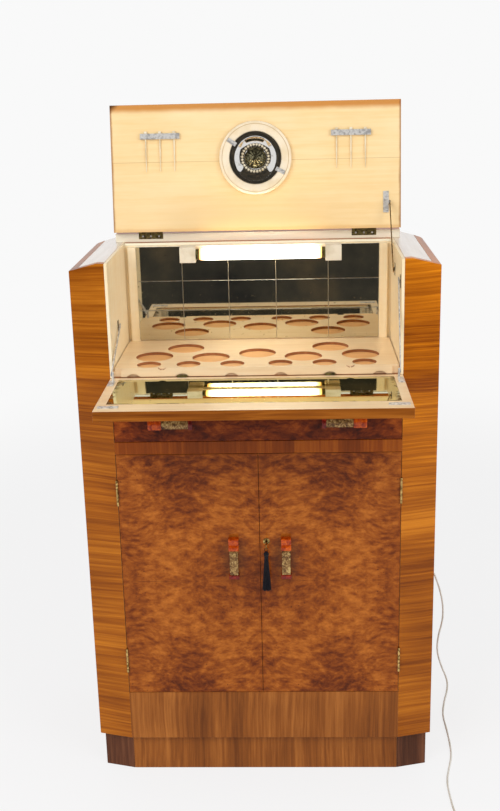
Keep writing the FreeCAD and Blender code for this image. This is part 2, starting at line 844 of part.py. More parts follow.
def doors():
    outer = half_front - s.reveal
    inner = s.reveal / 2
    low = s.apron_top + s.reveal
    high = s.door_rail_bottom - s.reveal
    face = (front, front + s.door_board)
    middle = s.keyhole_height
    left = board("door_left_board", (-outer, -inner), face, (low, high))
    housings = door_hinge_recesses("door_left_housing", -outer - s.cut_over, s.hinge_leaf - outer)
    mortise = board("bolt_mortise", (-inner - s.bolt_travel - s.bolt_clearance, s.cut_over),
                    bolt_span_y(s.bolt_clearance),
                    (middle - s.bolt_height / 2 - s.bolt_clearance,
                     middle + s.bolt_height / 2 + s.bolt_clearance))
    keep(without("door_left", left, *housings, mortise))
    right = board("door_right_board", (inner, outer), face, (low, high))
    housings = door_hinge_recesses("door_right_housing", outer - s.hinge_leaf, outer + s.cut_over)
    recess = board("lock_recess", lock_span_x(), lock_span_y(), lock_span_z())
    slot = board("bolt_slot", (-s.cut_over, s.lock_width), bolt_span_y(s.bolt_clearance),
                 (middle - s.bolt_height / 2 - s.bolt_clearance,
                  middle + s.bolt_height / 2 + s.bolt_clearance))
    keyhole = rod("keyhole", s.keyhole_radius, s.door_board + s.cut_over * 2, s.keyhole_offset,
                  front - s.cut_over, middle, "y")
    keep(without("door_right", right, *housings, recess, slot, keyhole))
    for side, name in ((-1, "left"), (1, "right")):
        pieces = handle(f"door_{name}_handle", s.door_handle_offset * side, s.door_handle_height,
                        "z", 1)
        keep(together(f"door_{name}_handle", *pieces))


def lock_span_x():
    start = s.reveal / 2
    return (start, start + s.lock_width)


def lock_span_y():
    face = front + s.door_board
    return (face - s.lock_thickness, face)


def lock_span_z():
    return (s.keyhole_height - s.lock_height / 2, s.keyhole_height + s.lock_height / 2)


def bolt_span_y(clearance=0):
    middle = front + s.door_board - s.lock_thickness / 2
    half = s.bolt_thickness / 2 + clearance
    return (middle - half, middle + half)


def lock():
    middle = s.keyhole_height
    case = board("lock_block", lock_span_x(), lock_span_y(), lock_span_z())
    channel = board("bolt_channel", (0, s.lock_width - s.bolt_travel / 2),
                    bolt_span_y(s.bolt_clearance / 2),
                    (middle - (s.bolt_height + s.bolt_clearance) / 2,
                     middle + (s.bolt_height + s.bolt_clearance) / 2))
    well = rod("key_well", s.keyhole_radius, s.lock_thickness, s.keyhole_offset,
               lock_span_y()[0] - s.cut_over, middle, "y")
    keep(without("lock_case", case, channel, well))
    start = s.reveal / 2
    bolt = board("bolt_bar", (start, start + s.bolt_length), bolt_span_y(),
                 (middle - s.bolt_height / 2, middle + s.bolt_height / 2))
    gate = board("bolt_gate", (s.keyhole_offset - s.keyhole_radius - s.bolt_clearance,
                               s.keyhole_offset + s.keyhole_radius + s.bolt_travel + s.bolt_clearance),
                 (bolt_span_y()[0] - s.cut_over, bolt_span_y()[1] + s.cut_over),
                 (middle - s.keyhole_radius - s.bolt_clearance, middle + s.bolt_height))
    keep(without("lock_bolt", bolt, gate))
    plate = rod("escutcheon_plate", s.escutcheon_radius, s.escutcheon_thickness, s.keyhole_offset,
                front - s.escutcheon_thickness, middle, "y")
    hole = rod("escutcheon_hole", s.keyhole_radius, s.escutcheon_thickness + s.cut_over * 2,
               s.keyhole_offset, front - s.cut_over, middle, "y")
    keep(without("escutcheon", plate, hole))
    tail = front + s.key_tail
    shaft = rod("key_shaft", s.key_shaft_radius, s.key_reach + s.key_tail, s.keyhole_offset,
                tail - s.key_reach - s.key_tail, middle, "y")
    bow = doc.addObject("Part::Torus", "key_bow")
    bow.setExpression("Radius1", s.key_bow_radius.text)
    bow.setExpression("Radius2", s.key_bow_wire.text)
    place(bow, s.keyhole_offset, key_bow_y(), middle, FreeCAD.Vector(0, 1, 0), 90)
    keep(fused("key", shaft, bow))


def key_bow_y():
    return front - s.key_reach - s.key_bow_radius


def tassel():
    """A loop of cord through the key's bow, a bound head and a skirt of thread."""
    x = s.keyhole_offset
    y = key_bow_y()
    wire = s.keyhole_height - s.key_bow_radius
    loop_middle = wire + s.key_bow_wire + s.tassel_hang + s.tassel_cord_radius - s.tassel_loop_radius
    loop = doc.addObject("Part::Torus", "tassel_loop")
    loop.setExpression("Radius1", s.tassel_loop_radius.text)
    loop.setExpression("Radius2", s.tassel_cord_radius.text)
    place(loop, x, y, loop_middle, FreeCAD.Vector(1, 0, 0), 90)
    head_middle = loop_middle - s.tassel_loop_radius - s.tassel_head_radius
    head = doc.addObject("Part::Sphere", "tassel_head")
    head.setExpression("Radius", s.tassel_head_radius.text)
    place(head, x, y, head_middle)
    skirt = cone("tassel_skirt", s.tassel_skirt_radius, s.tassel_neck_radius, s.tassel_skirt_length,
                 x, y, head_middle - s.tassel_skirt_length)
    keep(fused("key_tassel", loop, head, skirt))


def drawer():
    low = s.door_rail_top + s.reveal
    high = s.drawer_opening_top - s.reveal
    outer = half_front - s.reveal
    face_back = front + s.drawer_front_board
    keep(board("drawer_front", (-outer, outer), (front, face_back), (low, high)))
    side_out = wall_inside - s.drawer_side_gap
    base_z = s.door_rail_top + s.drawer_running_gap
    box_top = base_z + s.drawer_box_height
    box_back = face_back + s.drawer_box_depth
    inner = side_out - s.drawer_side_board
    side = board("drawer_side", (inner, side_out), (face_back, box_back), (base_z, box_top))
    rear = board("drawer_rear", (-inner, inner), (box_back - s.drawer_side_board, box_back),
                 (base_z, box_top))
    base = board("drawer_base", (-inner, inner), (face_back, box_back - s.drawer_side_board),
                 (base_z, base_z + s.drawer_base_board))
    keep(together("drawer_box", side, mirrored("drawer_side_twin", side), rear, base))
    pieces = []
    for place_side in (-1, 1):
        name = "drawer_handle_left" if place_side < 0 else "drawer_handle_right"
        pieces += handle(name, (half_front - s.drawer_handle_inset) * place_side,
                         s.drawer_handle_height, "x", place_side)
    keep(together("drawer_handles", *pieces))


def in_lid(name, *items, cut=()):
    """Turns a piece drawn on an upright lid to the open lid's lean.

    Drawn with the hinge axis as origin: Z up the lid, the inner face toward -Y.
    """
    item = items[0] if len(items) == 1 else together(name + "_upright", *items)
    if cut:
        item = without(name + "_cut", item, *cut)
    holder = together(name, item)
    holder.Placement = FreeCAD.Placement(vector(0, lid_axis_y, lid_axis_z),
                                         FreeCAD.Rotation(FreeCAD.Vector(-1, 0, 0), s.lid_lean.value))
    holder.setExpression("Placement.Base.y", lid_axis_y.text)
    holder.setExpression("Placement.Base.z", lid_axis_z.text)
    holder.setExpression("Placement.Rotation.Angle", s.lid_lean.text)
    return keep(holder, name)


lid_outer_y = -s.knuckle_radius - s.knuckle_proud
lid_face_y = lid_outer_y - s.lid_board
lid_low = s.hinge_joint / 2


def lid():
    panel = board("lid_board_upright", (-lid_half, lid_half), (lid_face_y, lid_outer_y),
                  (lid_low, lid_low + s.lid_length))
    housings = [board(f"lid_housing_{side}", lid_hinge_span(side),
                      (lid_outer_y - s.lid_hinge_leaf_depth, lid_outer_y + s.cut_over),
                      (lid_low - s.cut_over, lid_low + s.hinge_leaf)) for side in (-1, 1)]
    in_lid("lid_panel", panel, cut=housings)


def turned(name, points, arcs=()):
    """A solid of revolution about the squeezer's axis, drawn as radius and reach from the lid.

    Each arc entry is the number of the side that is an arc and how far it bulges.
    """
    count = len(points)
    edges = []
    bulges = dict(arcs)
    for index, point in enumerate(points):
        following = points[(index + 1) % count]
        start = FreeCAD.Vector(float(point[0]), -float(point[1]), 0)
        end = FreeCAD.Vector(float(following[0]), -float(following[1]), 0)
        if index in bulges:
            normal = (end - start).cross(FreeCAD.Vector(0, 0, 1)).normalize()
            middle = (start + end) * 0.5 + normal * float(bulges[index])
            edges.append(Part.Arc(start, middle, end).toShape())
        else:
            edges.append(Part.LineSegment(start, end).toShape())
    profile = Part.Face(Part.Wire(edges))
    solid = profile.revolve(FreeCAD.Vector(0, 0, 0), FreeCAD.Vector(0, 1, 0), 360)
    return shaped(name, solid, 0, lid_face_y, s.squeezer_height)


def squeezer():
    """The turned ring on the lid, the chrome dish in it and the reamer in the dish."""
    bead = s.ring_bead
    ring = turned("ring_turned", [
        (s.ring_inner, 0), (s.ring_outer, 0), (s.ring_outer, s.ring_thickness - bead),
        (s.ring_outer - bead * 2, s.ring_thickness), (s.ring_inner, s.ring_thickness)],
        arcs=((2, -bead / 4),))
    in_lid("squeezer_ring", ring)
    wall = s.dish_wall
    proud = s.ring_thickness
    deep = s.ring_thickness
    floor = s.reamer_radius + s.reveal
    dish = turned("dish_turned", [
        (0, proud - deep), (floor, proud - deep), (s.dish_bowl, proud - wall), (s.dish_rim, proud - wall),
        (s.dish_rim, proud), (s.dish_bowl, proud), (floor, proud - deep + wall), (0, proud - deep + wall)],
        arcs=((1, -deep / 6), (5, deep / 6)))
    in_lid("squeezer_dish", dish)
    in_lid("squeezer_reamer", reamer())


def spike(name, low_radius, high_radius, length, foot):
    """A cone on the squeezer's axis that stands out from the lid."""
    item = doc.addObject("Part::Cone", name)
    item.setExpression("Radius1", as_size(low_radius).text)
    item.setExpression("Radius2", as_size(high_radius).text)
    item.setExpression("Height", as_size(length).text)
    return place(item, 0, lid_face_y - foot, s.squeezer_height, FreeCAD.Vector(1, 0, 0), 90)


def reamer():
    """A ribbed cone on a flat foot that stands on the dish's floor."""
    foot = s.dish_wall
    rise = s.reamer_height - foot
    plate = doc.addObject("Part::Cylinder", "reamer_plate")
    plate.setExpression("Radius", s.reamer_radius.text)
    plate.setExpression("Height", foot.text)
    place(plate, 0, lid_face_y - foot, s.squeezer_height, FreeCAD.Vector(1, 0, 0), 90)
    core = spike("reamer_core", s.reamer_cone_radius - s.reamer_rib_depth, s.reamer_tip_radius, rise,
                 foot * 2)
    bars = []
    reach = s.reamer_cone_radius
    for number in range(s_count("reamer_ribs") // 2):
        bar = board(f"reamer_rib_{number}", (-reach, reach),
                    (lid_face_y - foot * 2 - rise, lid_face_y - foot * 2),
                    (s.squeezer_height - s.reamer_rib_width / 2,
                     s.squeezer_height + s.reamer_rib_width / 2))
        bars.append(turned_copy(bar, number))
    ribs = doc.addObject("Part::MultiCommon", "reamer_ribs")
    ribs.Shapes = [fused("reamer_star", *bars),
                   spike("reamer_outer", reach, s.reamer_tip_radius, rise, foot * 2)]
    return fused("reamer_solid", plate, core, ribs)


def s_count(alias):
    return int(SIZES[alias])


def turned_copy(item, number):
    """Turns a copy about the squeezer's axis by its share of a circle."""
    angle = 360 / s_count("reamer_ribs") * number
    holder = together(f"{item.Name}_turned", item)
    middle = vector(0, 0, s.squeezer_height)
    holder.Placement = FreeCAD.Placement(vector(0, 0, 0),
                                         FreeCAD.Rotation(FreeCAD.Vector(0, 1, 0), angle), middle)
    return holder


def clips():
    """Two turn clips on the ring, whose tongues hold the dish by its rim."""
    screws = []
    seat = lid_face_y - s.ring_thickness
    for name, turn in (("upper", s.clip_upper_turn), ("lower", s.clip_lower_turn)):
        angle = math.radians(turn.value)
        x = s.clip_pivot_radius * math.cos(angle)
        z = s.squeezer_height + s.clip_pivot_radius * math.sin(angle)
        reach = s.clip_pivot_radius - s.clip_tongue_radius
        plate = board(f"clip_{name}_plate", (-s.clip_width / 2, reach),
                      (-s.clip_lift - s.clip_thickness, -s.clip_lift),
                      (-s.clip_width / 2, s.clip_width / 2))
        bore = rod(f"clip_{name}_bore", s.clip_screw_radius + s.pin_clearance,
                   s.clip_thickness + s.cut_over * 2, 0, -s.clip_lift - s.clip_thickness - s.cut_over,
                   0, "y")
        clip = together(f"clip_{name}_set", without(f"clip_{name}_drilled", plate, bore))
        clip.Placement = FreeCAD.Placement(vector(x, seat, z),
                                           FreeCAD.Rotation(FreeCAD.Vector(0, 1, 0),
                                                            180 - turn.value))
        in_lid(f"clip_{name}", clip)
        stem = s.clip_lift * 2 + s.clip_thickness
        screws.append(fused(f"clip_screw_{name}",
                            rod(f"clip_stem_{name}", s.clip_screw_radius, stem, x, seat - stem, z, "y"),
                            rod(f"clip_head_{name}", s.clip_screw_head, s.clip_screw_head_height, x,
                                seat - stem - s.clip_screw_head_height, z, "y")))
    return screws


def stick_holders():
    """A grooved bar for three sticks on each side of the lid, and the sticks in their holes."""
    bars = []
    low = s.holder_height - s.holder_bar / 2
    hole_y = lid_face_y - s.holder_depth / 2
    for side, name in ((-1, "left"), (1, "right")):
        middle = (half_front - s.holder_inset) * side
        bar = board(f"holder_{name}_bar", (middle - s.holder_width / 2, middle + s.holder_width / 2),
                    (lid_face_y - s.holder_depth, lid_face_y), (low, low + s.holder_bar))
        places = [middle + s.stick_spacing * step for step in (-1, 0, 1)]
        holes = [rod(f"holder_{name}_hole_{number}", s.stick_radius + s.stick_clearance,
                     s.holder_bar + s.cut_over * 2, x, hole_y, low - s.cut_over)
                 for number, x in enumerate(places)]
        bars.append(without(f"holder_{name}", bar, *holes))
        in_lid(f"sticks_{name}", *[stick(f"stick_{name}_{number}", x, hole_y, low + s.holder_bar)
                                   for number, x in enumerate(places)])
    return bars


def stick(name, x, y, seat):
    """A turned stick that hangs by its head, with a long point."""
    shank = s.stick_length - s.stick_point
    return fused(name, rod(name + "_shank", s.stick_radius, shank, x, y, seat - shank),
                 rod(name + "_head", s.stick_head_radius, s.stick_head_height, x, y, seat),
                 cone(name + "_point", s.stick_radius / 3, s.stick_radius, s.stick_point, x, y,
                      seat - shank - s.stick_point))


ear_in = stay_plane - s.stay_thickness / 2 - s.stay_gap - s.ear_thickness
ear_out = ear_in + s.ear_thickness
pin_end = stay_plane + s.stay_thickness / 2 + s.stay_gap


def lid_bracket():
    """The plate and ear on the lid that carry its stay."""
    pin_y = lid_face_y - s.lid_ear_reach
    z = s.lid_ear_height
    plate = board("lid_bracket_plate", (ear_out - s.lid_plate_width, ear_out),
                  (lid_face_y - s.fitting_plate, lid_face_y),
                  (z - s.lid_plate_length / 2, z + s.lid_plate_length / 2))
    ear = board("lid_bracket_ear", (ear_in, ear_out), (pin_y, lid_face_y),
                (z - s.ear_radius, z + s.ear_radius))
    eye = rod("lid_bracket_eye", s.ear_radius, s.ear_thickness, ear_in, pin_y, z, "x")
    pin = rod("lid_bracket_pin", s.stay_pin_radius, pin_end - ear_in, ear_in, pin_y, z, "x")
    return fused("lid_bracket", plate, ear, eye, pin)


def lid_fittings():
    in_lid("lid_fittings", *clips(), *stick_holders(), lid_bracket())


def flap():
    half = half_front - s.flap_side_gap
    rear = front - s.hinge_joint / 2
    fore = rear - s.flap_length
    top = s.bar_level
    panel = board("flap_board_blank", (-half, half), (fore, rear), (top - s.flap_board, top))
    mirror_half = half_front - s.flap_mirror_side_inset
    recess = board("flap_recess", (-mirror_half, mirror_half),
                   (front - s.flap_mirror_front, front - s.flap_mirror_rear),
                   (top - s.flap_mirror_thickness - s.flap_mirror_sink, top + s.cut_over))
    housings = [board(f"flap_housing_{side}", flap_hinge_span(side),
                      (rear - s.hinge_leaf, rear + s.cut_over),
                      (top - s.flap_hinge_leaf_depth, top + s.cut_over)) for side in (-1, 1)]
    keep(without("flap_panel", panel, recess, *housings))
    keep(board("flap_mirror", (-mirror_half, mirror_half),
               (front - s.flap_mirror_front, front - s.flap_mirror_rear),
               (top - s.flap_mirror_thickness - s.flap_mirror_sink, top - s.flap_mirror_sink)))

    pin_y = front - s.flap_pin_front
    pin_z = flap_axis_z + s.flap_pin_rise
    plate = board("flap_bracket_plate", (ear_in, ear_in + s.lid_plate_width),
                  (pin_y - s.flap_plate_length / 2, pin_y + s.flap_plate_length / 2),
                  (top, top + s.fitting_plate))
    ear = board("flap_bracket_ear", (ear_in, ear_out), (pin_y - s.ear_radius, pin_y + s.ear_radius),
                (top, pin_z))
    eye = rod("flap_bracket_eye", s.ear_radius, s.ear_thickness, ear_in, pin_y, pin_z, "x")
    pin = rod("flap_bracket_pin", s.stay_pin_radius, pin_end - ear_in, ear_in, pin_y, pin_z, "x")
    bracket = fused("flap_bracket", plate, ear, eye, pin)
    outer = half - s.corner_plate_width / 2
    fore_y = fore + s.corner_plate_front
    bar = board("corner_bar", (outer - s.corner_plate_length, outer),
                (fore_y, fore_y + s.corner_plate_width), (top, top + s.fitting_plate))
    screws = [rod(f"corner_screw_{number}", s.corner_screw_radius, s.corner_screw_height,
                  outer - s.corner_plate_length * share, fore_y + s.corner_plate_width / 2,
                  top + s.fitting_plate) for number, share in enumerate((0.25, 0.75))]
    corner = fused("corner_plate", bar, *screws)
    keep(together("flap_fittings", bracket, mirrored("flap_bracket_twin", bracket),
                  corner, mirrored("corner_plate_twin", corner)))


def stay(name, side, pin_y, pin_z, stud_y, stud_z, shut_pin_y, shut_pin_z):
    """A slotted flat bar from its pin to just past the wall stud."""
    run_y = stud_y - pin_y
    run_z = stud_z - pin_z
    reach = math.hypot(float(run_y), float(run_z))
    shut_reach = math.hypot(float(stud_y - shut_pin_y), float(stud_z - shut_pin_z))
    width = s.stay_width.value
    thick = s.stay_thickness.value
    tail = s.stay_tail.value
    low = -thick / 2

    def bar(start, end, wide):
        """A flat bar with round ends, from its first to its last end centre."""
        middle = Part.makeBox(thick, end - start, wide, FreeCAD.Vector(low, start, -wide / 2))
        ends = [Part.makeCylinder(wide / 2, thick, FreeCAD.Vector(low, centre, 0),
                                  FreeCAD.Vector(1, 0, 0)) for centre in (start, end)]
        return middle.fuse(ends)

    slot_wide = s.stay_slot.value
    shape = bar(0, reach + tail, width)
    shape = shape.cut(bar(min(reach, shut_reach) - tail, max(reach, shut_reach), slot_wide))
    hole = Part.makeCylinder(s.stay_pin_radius.value + s.pin_clearance.value, thick,
                             FreeCAD.Vector(low, 0, 0), FreeCAD.Vector(1, 0, 0))
    shape = shape.cut(hole).removeSplitter()
    item = doc.addObject("Part::Feature", name)
    item.Shape = shape
    turn = math.degrees(math.atan2(float(run_z), float(run_y)))
    item.Placement = FreeCAD.Placement(vector(stay_plane * side, pin_y, pin_z),
                                       FreeCAD.Rotation(FreeCAD.Vector(1, 0, 0), turn))
    keep(item)
    print(name, "open run", round(reach, 2), "turn", round(turn, 3), "shut turn",
          round(math.degrees(math.atan2(float(stud_z - shut_pin_z), float(stud_y - shut_pin_y))), 3))


def stays():
    """Three stays, and the studs on the bar walls that they slide on."""
    lean = math.radians(s.lid_lean.value)
    ear_y = lid_face_y - s.lid_ear_reach
    open_y = lid_axis_y + ear_y * math.cos(lean) + s.lid_ear_height * math.sin(lean)
    open_z = lid_axis_z - ear_y * math.sin(lean) + s.lid_ear_height * math.cos(lean)
    stay("lid_stay", 1, open_y, open_z, front + s.lid_stud_depth, s.lid_stud_height,
         lid_axis_y - s.lid_ear_height, lid_axis_z + ear_y)
    pin_y = front - s.flap_pin_front
    pin_z = flap_axis_z + s.flap_pin_rise
    shut_y = front + s.flap_pin_rise
    shut_z = flap_axis_z + s.flap_pin_front
    stay("flap_stay_right", 1, pin_y, pin_z, front + s.right_stud_depth, s.right_stud_height,
         shut_y, shut_z)
    stay("flap_stay_left", -1, pin_y, pin_z, front + s.left_stud_depth, s.left_stud_height,
         shut_y, shut_z)
    studs = []
    for name, side, depth, height in (("lid", 1, s.lid_stud_depth, s.lid_stud_height),
                                      ("right", 1, s.right_stud_depth, s.right_stud_height),
                                      ("left", -1, s.left_stud_depth, s.left_stud_height)):
        y = front + depth
        plate = board(f"stud_plate_{name}", (bar_inside - s.stay_plate, bar_inside),
                      (y - s.stay_plate_width / 2, y + s.stay_plate_width / 2),
                      (height - s.stay_plate_height / 2, height + s.stay_plate_height / 2))
        inner = stay_plane + s.stay_thickness / 2 + s.stay_gap
        nub = rod(f"stud_nub_{name}", s.stay_stud_radius, bar_inside - inner, inner, y, height, "x")
        stud = fused(f"stud_{name}", plate, nub)
        studs.append(stud if side > 0 else mirrored(f"stud_{name}_twin", stud))
    keep(together("stay_studs", *studs))


# Where the cord's middle line turns, from the gland to the coil, chosen by hand.
CORD_ROUTE = (
    (320, 184, 420), (320, 240, 420), (335, 272, 397), (365, 276, 366), (399, 256, 337),
    (424, 226, 304), (440, 208, 262), (450, 205, 216), (450, 205, 172), (439, 203, 130),
    (436, 201, 88), (447, 198, 48), (464, 186, 10), (458, 148, 2.4), (443, 94, 2.4), (432, 36, 2.4),
    (434, -24, 2.4), (434, -84, 2.4), (431, -138, 2.4), (418, -188, 2.4), (407, -236, 2.4),
    (407, -290, 2.4), (409, -340, 2.4), (417, -384, 2.4), (430, -424, 2.4))
CORD_ARC_SHARE = 0.45


def arc_at(before, corner, after, radius_reach):
    """The arc that rounds a corner, starting a given reach before it."""
    toward_start = (before - corner).normalize()
    toward_end = (after - corner).normalize()
    start = corner + toward_start * radius_reach
    end = corner + toward_end * radius_reach
    half_turn = (math.pi - toward_start.getAngle(toward_end)) / 2
    radius = radius_reach / math.tan(half_turn)
    bisector = (toward_start + toward_end).normalize()
    middle = corner + bisector * (radius / math.cos(half_turn) - radius)
    return start, middle, end, radius


def rounded_route(points):
    """Straight runs joined by tangent arcs, the arcs as wide as the shorter run allows."""
    edges = []
    radii = []
    position = points[0]
    for before, corner, after in zip(points, points[1:], points[2:]):
        shorter = min((corner - before).Length, (after - corner).Length)
        start, middle, end, radius = arc_at(before, corner, after, CORD_ARC_SHARE * shorter)
        edges.append(Part.LineSegment(position, start).toShape())
        edges.append(Part.Arc(start, middle, end).toShape())
        radii.append(radius)
        position = end
    edges.append(Part.LineSegment(position, points[-1]).toShape())
    return Part.Wire(edges), min(radii)


def tube(wire, radius):
    """A round solid swept along a wire."""
    first = wire.Edges[0]
    start = first.valueAt(first.FirstParameter)
    direction = first.tangentAt(first.FirstParameter)
    ring = Part.Wire(Part.makeCircle(radius, start, direction))
    return wire.makePipeShell([ring], True, False)


def biarc(start, start_way, end, end_way):
    """Two arcs that leave a point and reach another in given directions."""
    across = end - start
    ways = start_way + end_way
    spread = 2 * (1 - start_way.dot(end_way))
    reach = (math.sqrt(across.dot(ways) ** 2 + spread * across.dot(across)) - across.dot(ways)) / spread
    first_apex = start + start_way * reach
    last_apex = end - end_way * reach
    joint = (first_apex + last_apex) * 0.5
    return [arc_under(start, first_apex, joint), arc_under(joint, last_apex, end)]


def arc_under(start, apex, end):
    """The arc from start to end whose end tangents meet at the apex."""
    chord_middle = (start + end) * 0.5
    half_chord = (end - start).Length / 2
    rise = apex - chord_middle
    angle = math.atan2(rise.Length, half_chord)
    middle = chord_middle + rise.normalize() * (half_chord * math.tan(angle / 2))
    return Part.Arc(start, middle, end).toShape()


def coil_points():
    """Points and directions on the coil, four to a turn, from the end of the floor run."""
    start = FreeCAD.Vector(*CORD_ROUTE[-1])
    way = (start - FreeCAD.Vector(*CORD_ROUTE[-2])).normalize()
    radius = s.coil_radius.value
    centre = start + FreeCAD.Vector(-way.y, way.x, 0) * -radius
    first = math.atan2(start.y - centre.y, start.x - centre.x)
    quarters = s_count("coil_turns") * 4
    climb = s.coil_pitch.value / 4
    points = []
    for number in range(quarters + 1):
        angle = first - math.pi / 2 * number
        rise = min(number, quarters) * climb
        position = centre + FreeCAD.Vector(radius * math.cos(angle), radius * math.sin(angle), rise)
        steep = 0 if number == 0 else climb
        direction = FreeCAD.Vector(radius * math.pi / 2 * math.sin(angle),
                                   -radius * math.pi / 2 * math.cos(angle), steep).normalize()
        points.append((position, direction))
    return points


def coil():
    """The put-away length: real turns of one unbroken cord, then the lead to the plug."""
    points = coil_points()
    edges = []
    for (start, start_way), (end, end_way) in zip(points, points[1:]):
        edges += biarc(start, start_way, end, end_way)
    last, way = points[-1]
    flat = FreeCAD.Vector(way.x, way.y, 0).normalize()
    lead = s.plug_length.value
    landing = last + flat * (lead * 2)
    landing.z = s.plug_height.value / 2
    edges += biarc(last, way, landing, flat)
    wire = Part.Wire(edges)
    item = shaped("cord_coil", tube(wire, s.cord_radius.value))
    keep(item)
    gap = least_gap([edge.valueAt(edge.FirstParameter + (edge.LastParameter - edge.FirstParameter) * t / 8)
                     for edge in edges for t in range(8)])
    print("coil length", round(wire.Length, 1), "least gap to itself", round(gap, 2))
    return landing, flat


def least_gap(points):
    """The least clear gap between turns of the coil, on points far apart along the cord."""
    apart = 12
    nearest = min((a - b).Length for index, a in enumerate(points) for b in points[index + apart:])
    return nearest - 2 * s.cord_radius.value


def plug(position, way):
    """A moulded plug with two flat pins, lying where the coil's lead ends."""
    long = s.plug_length.value
    half = s.plug_width.value / 2
    tall = s.plug_height.value
    body = Part.makeBox(long, half * 2, tall, FreeCAD.Vector(0, -half, -tall / 2))
    body = body.makeFillet(tall / 4, [edge for edge in body.Edges if edge.tangentAt(0).x ** 2 > 0.9])
    offset = s.plug_pin_offset.value
    wide = s.plug_pin_width.value
    thick = s.plug_pin_thickness.value
    pins = [Part.makeBox(s.plug_pin_length.value, wide, thick,
                         FreeCAD.Vector(long, side * offset - wide / 2, -thick / 2)) for side in (-1, 1)]
    item = doc.addObject("Part::Feature", "plug")
    item.Shape = body.fuse(pins)
    turn = math.degrees(math.atan2(way.y, way.x))
    item.Placement = FreeCAD.Placement(position, FreeCAD.Rotation(FreeCAD.Vector(0, 0, 1), turn))
    keep(item)


def power_cord():
    points = [FreeCAD.Vector(*point) for point in CORD_ROUTE]
    wire, tightest = rounded_route(points)
    solid = tube(wire, s.cord_radius.value)
    keep(shaped("power_cord", solid))
    ideal = wire.Length * math.pi * s.cord_radius.value ** 2
    print("cord length", round(wire.Length, 1), "tightest arc", round(tightest, 1),
          "volume share", round(solid.Volume / ideal, 4))
    x = gland_place
    z = s.gland_height
    outside = carcase_back + s.back_board
    barrel = rod("gland_barrel", s.gland_radius - s.pin_clearance, s.gland_length, x,
                 outside - s.gland_length, z, "y")
    flange = rod("gland_flange_disc", s.gland_flange_radius, s.gland_flange, x, outside, z, "y")
    relief_start = outside + s.gland_flange
    relief = cone("gland_relief", s.relief_radius + s.cord_radius, s.relief_radius, s.relief_length, x,
                  relief_start, z, "y")
    bore = rod("gland_bore", s.cord_radius + s.pin_clearance,
               s.gland_length + s.relief_length + s.cut_over * 4, x,
               outside - s.gland_length - s.cut_over, z, "y")
    keep(without("cord_gland", fused("gland_body", barrel, flange, relief), bore))
    plug(*coil())


def check(items):
    """Stops at any feature that failed and at any piece without a sound shape."""
    for item in doc.Objects:
        if "Invalid" in item.State or "Error" in item.State:
            raise RuntimeError(f"{item.Name} failed: {item.State}")
    for label, item in items:
        if item.Shape.isNull() or not item.Shape.isValid() or not item.Shape.Solids:
            raise RuntimeError(f"{label} has no sound solid")


plinth()
wings()
carcase()
hinge_rail()
bar_walls()
rear_top()
tray()
back_mirror()
lamp()
lid()
squeezer()
lid_fittings()
flap()
stays()
hinges()
doors()
lock()
tassel()
drawer()
power_cord()

doc.recompute()
check(nodes.items())
os.makedirs("parts", exist_ok=True)
for label, item in nodes.items():
    item.Shape.exportStep(f"parts/{label}.step")
print(len(nodes), "nodes,", sum(len(item.Shape.Solids) for item in nodes.values()), "solids")
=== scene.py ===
# %% [markdown]
# # A cocktail cabinet, dressed for its picture
#
# The cabinet's boards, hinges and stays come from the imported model, which fixes every size and
# place. This lesson gives them their veneers, lacquers and metals, and models the small pieces
# whose shape a plain solid can't show: handles, squeezer, key and tassel, lamp and cord.

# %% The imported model
import json
import math
import random

import bpy
from mathutils import Matrix, Vector

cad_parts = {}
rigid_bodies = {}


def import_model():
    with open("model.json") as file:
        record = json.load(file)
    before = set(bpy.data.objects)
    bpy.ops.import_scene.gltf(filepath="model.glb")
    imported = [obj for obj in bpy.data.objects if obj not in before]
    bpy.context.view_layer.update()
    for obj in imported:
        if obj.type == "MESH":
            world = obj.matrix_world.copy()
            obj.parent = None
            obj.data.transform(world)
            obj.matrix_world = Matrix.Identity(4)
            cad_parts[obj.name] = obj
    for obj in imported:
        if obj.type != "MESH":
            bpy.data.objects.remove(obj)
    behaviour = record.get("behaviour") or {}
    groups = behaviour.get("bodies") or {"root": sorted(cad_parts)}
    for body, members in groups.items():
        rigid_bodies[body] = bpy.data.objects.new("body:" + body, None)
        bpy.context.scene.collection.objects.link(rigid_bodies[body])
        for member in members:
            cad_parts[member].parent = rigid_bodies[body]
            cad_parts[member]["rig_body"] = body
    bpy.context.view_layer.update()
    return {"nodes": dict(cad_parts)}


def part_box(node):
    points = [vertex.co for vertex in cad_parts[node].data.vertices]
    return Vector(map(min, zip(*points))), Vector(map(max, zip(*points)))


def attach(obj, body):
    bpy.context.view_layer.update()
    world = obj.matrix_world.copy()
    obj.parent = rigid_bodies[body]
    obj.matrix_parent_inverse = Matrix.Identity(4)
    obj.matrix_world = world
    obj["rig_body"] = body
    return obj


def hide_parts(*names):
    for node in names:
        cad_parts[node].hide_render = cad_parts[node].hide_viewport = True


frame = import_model()
nodes = frame["nodes"]
MM = 0.001
RIGHT = Vector((1, 0, 0))
BACK = Vector((0, 1, 0))
UP = Vector((0, 0, 1))


def rounded(values):
    return [round(value, 4) for value in values]


# %% [markdown]
# ## Camera
#
# The picture was taken standing, from a little right of the middle, looking down at the front.
# A camera can be aimed with a Track To constraint, but a plain matrix made from three turns says
# exactly where it looks, and nothing moves it later. The lens is given on a 36 mm long side.

# %% Camera
CAMERA_PLACE = Vector((0.077, -2.454, 1.559))
CAMERA_YAW = math.radians(2.3045)
CAMERA_PITCH = math.radians(90 - 16.8451)
CAMERA_ROLL = math.radians(-1.4097)
CAMERA_LENS = 50.83
LONG_SIDE = 36


def placed(name, data):
    """A new object in the scene."""
    item = bpy.data.objects.new(name, data)
    bpy.context.scene.collection.objects.link(item)
    return item


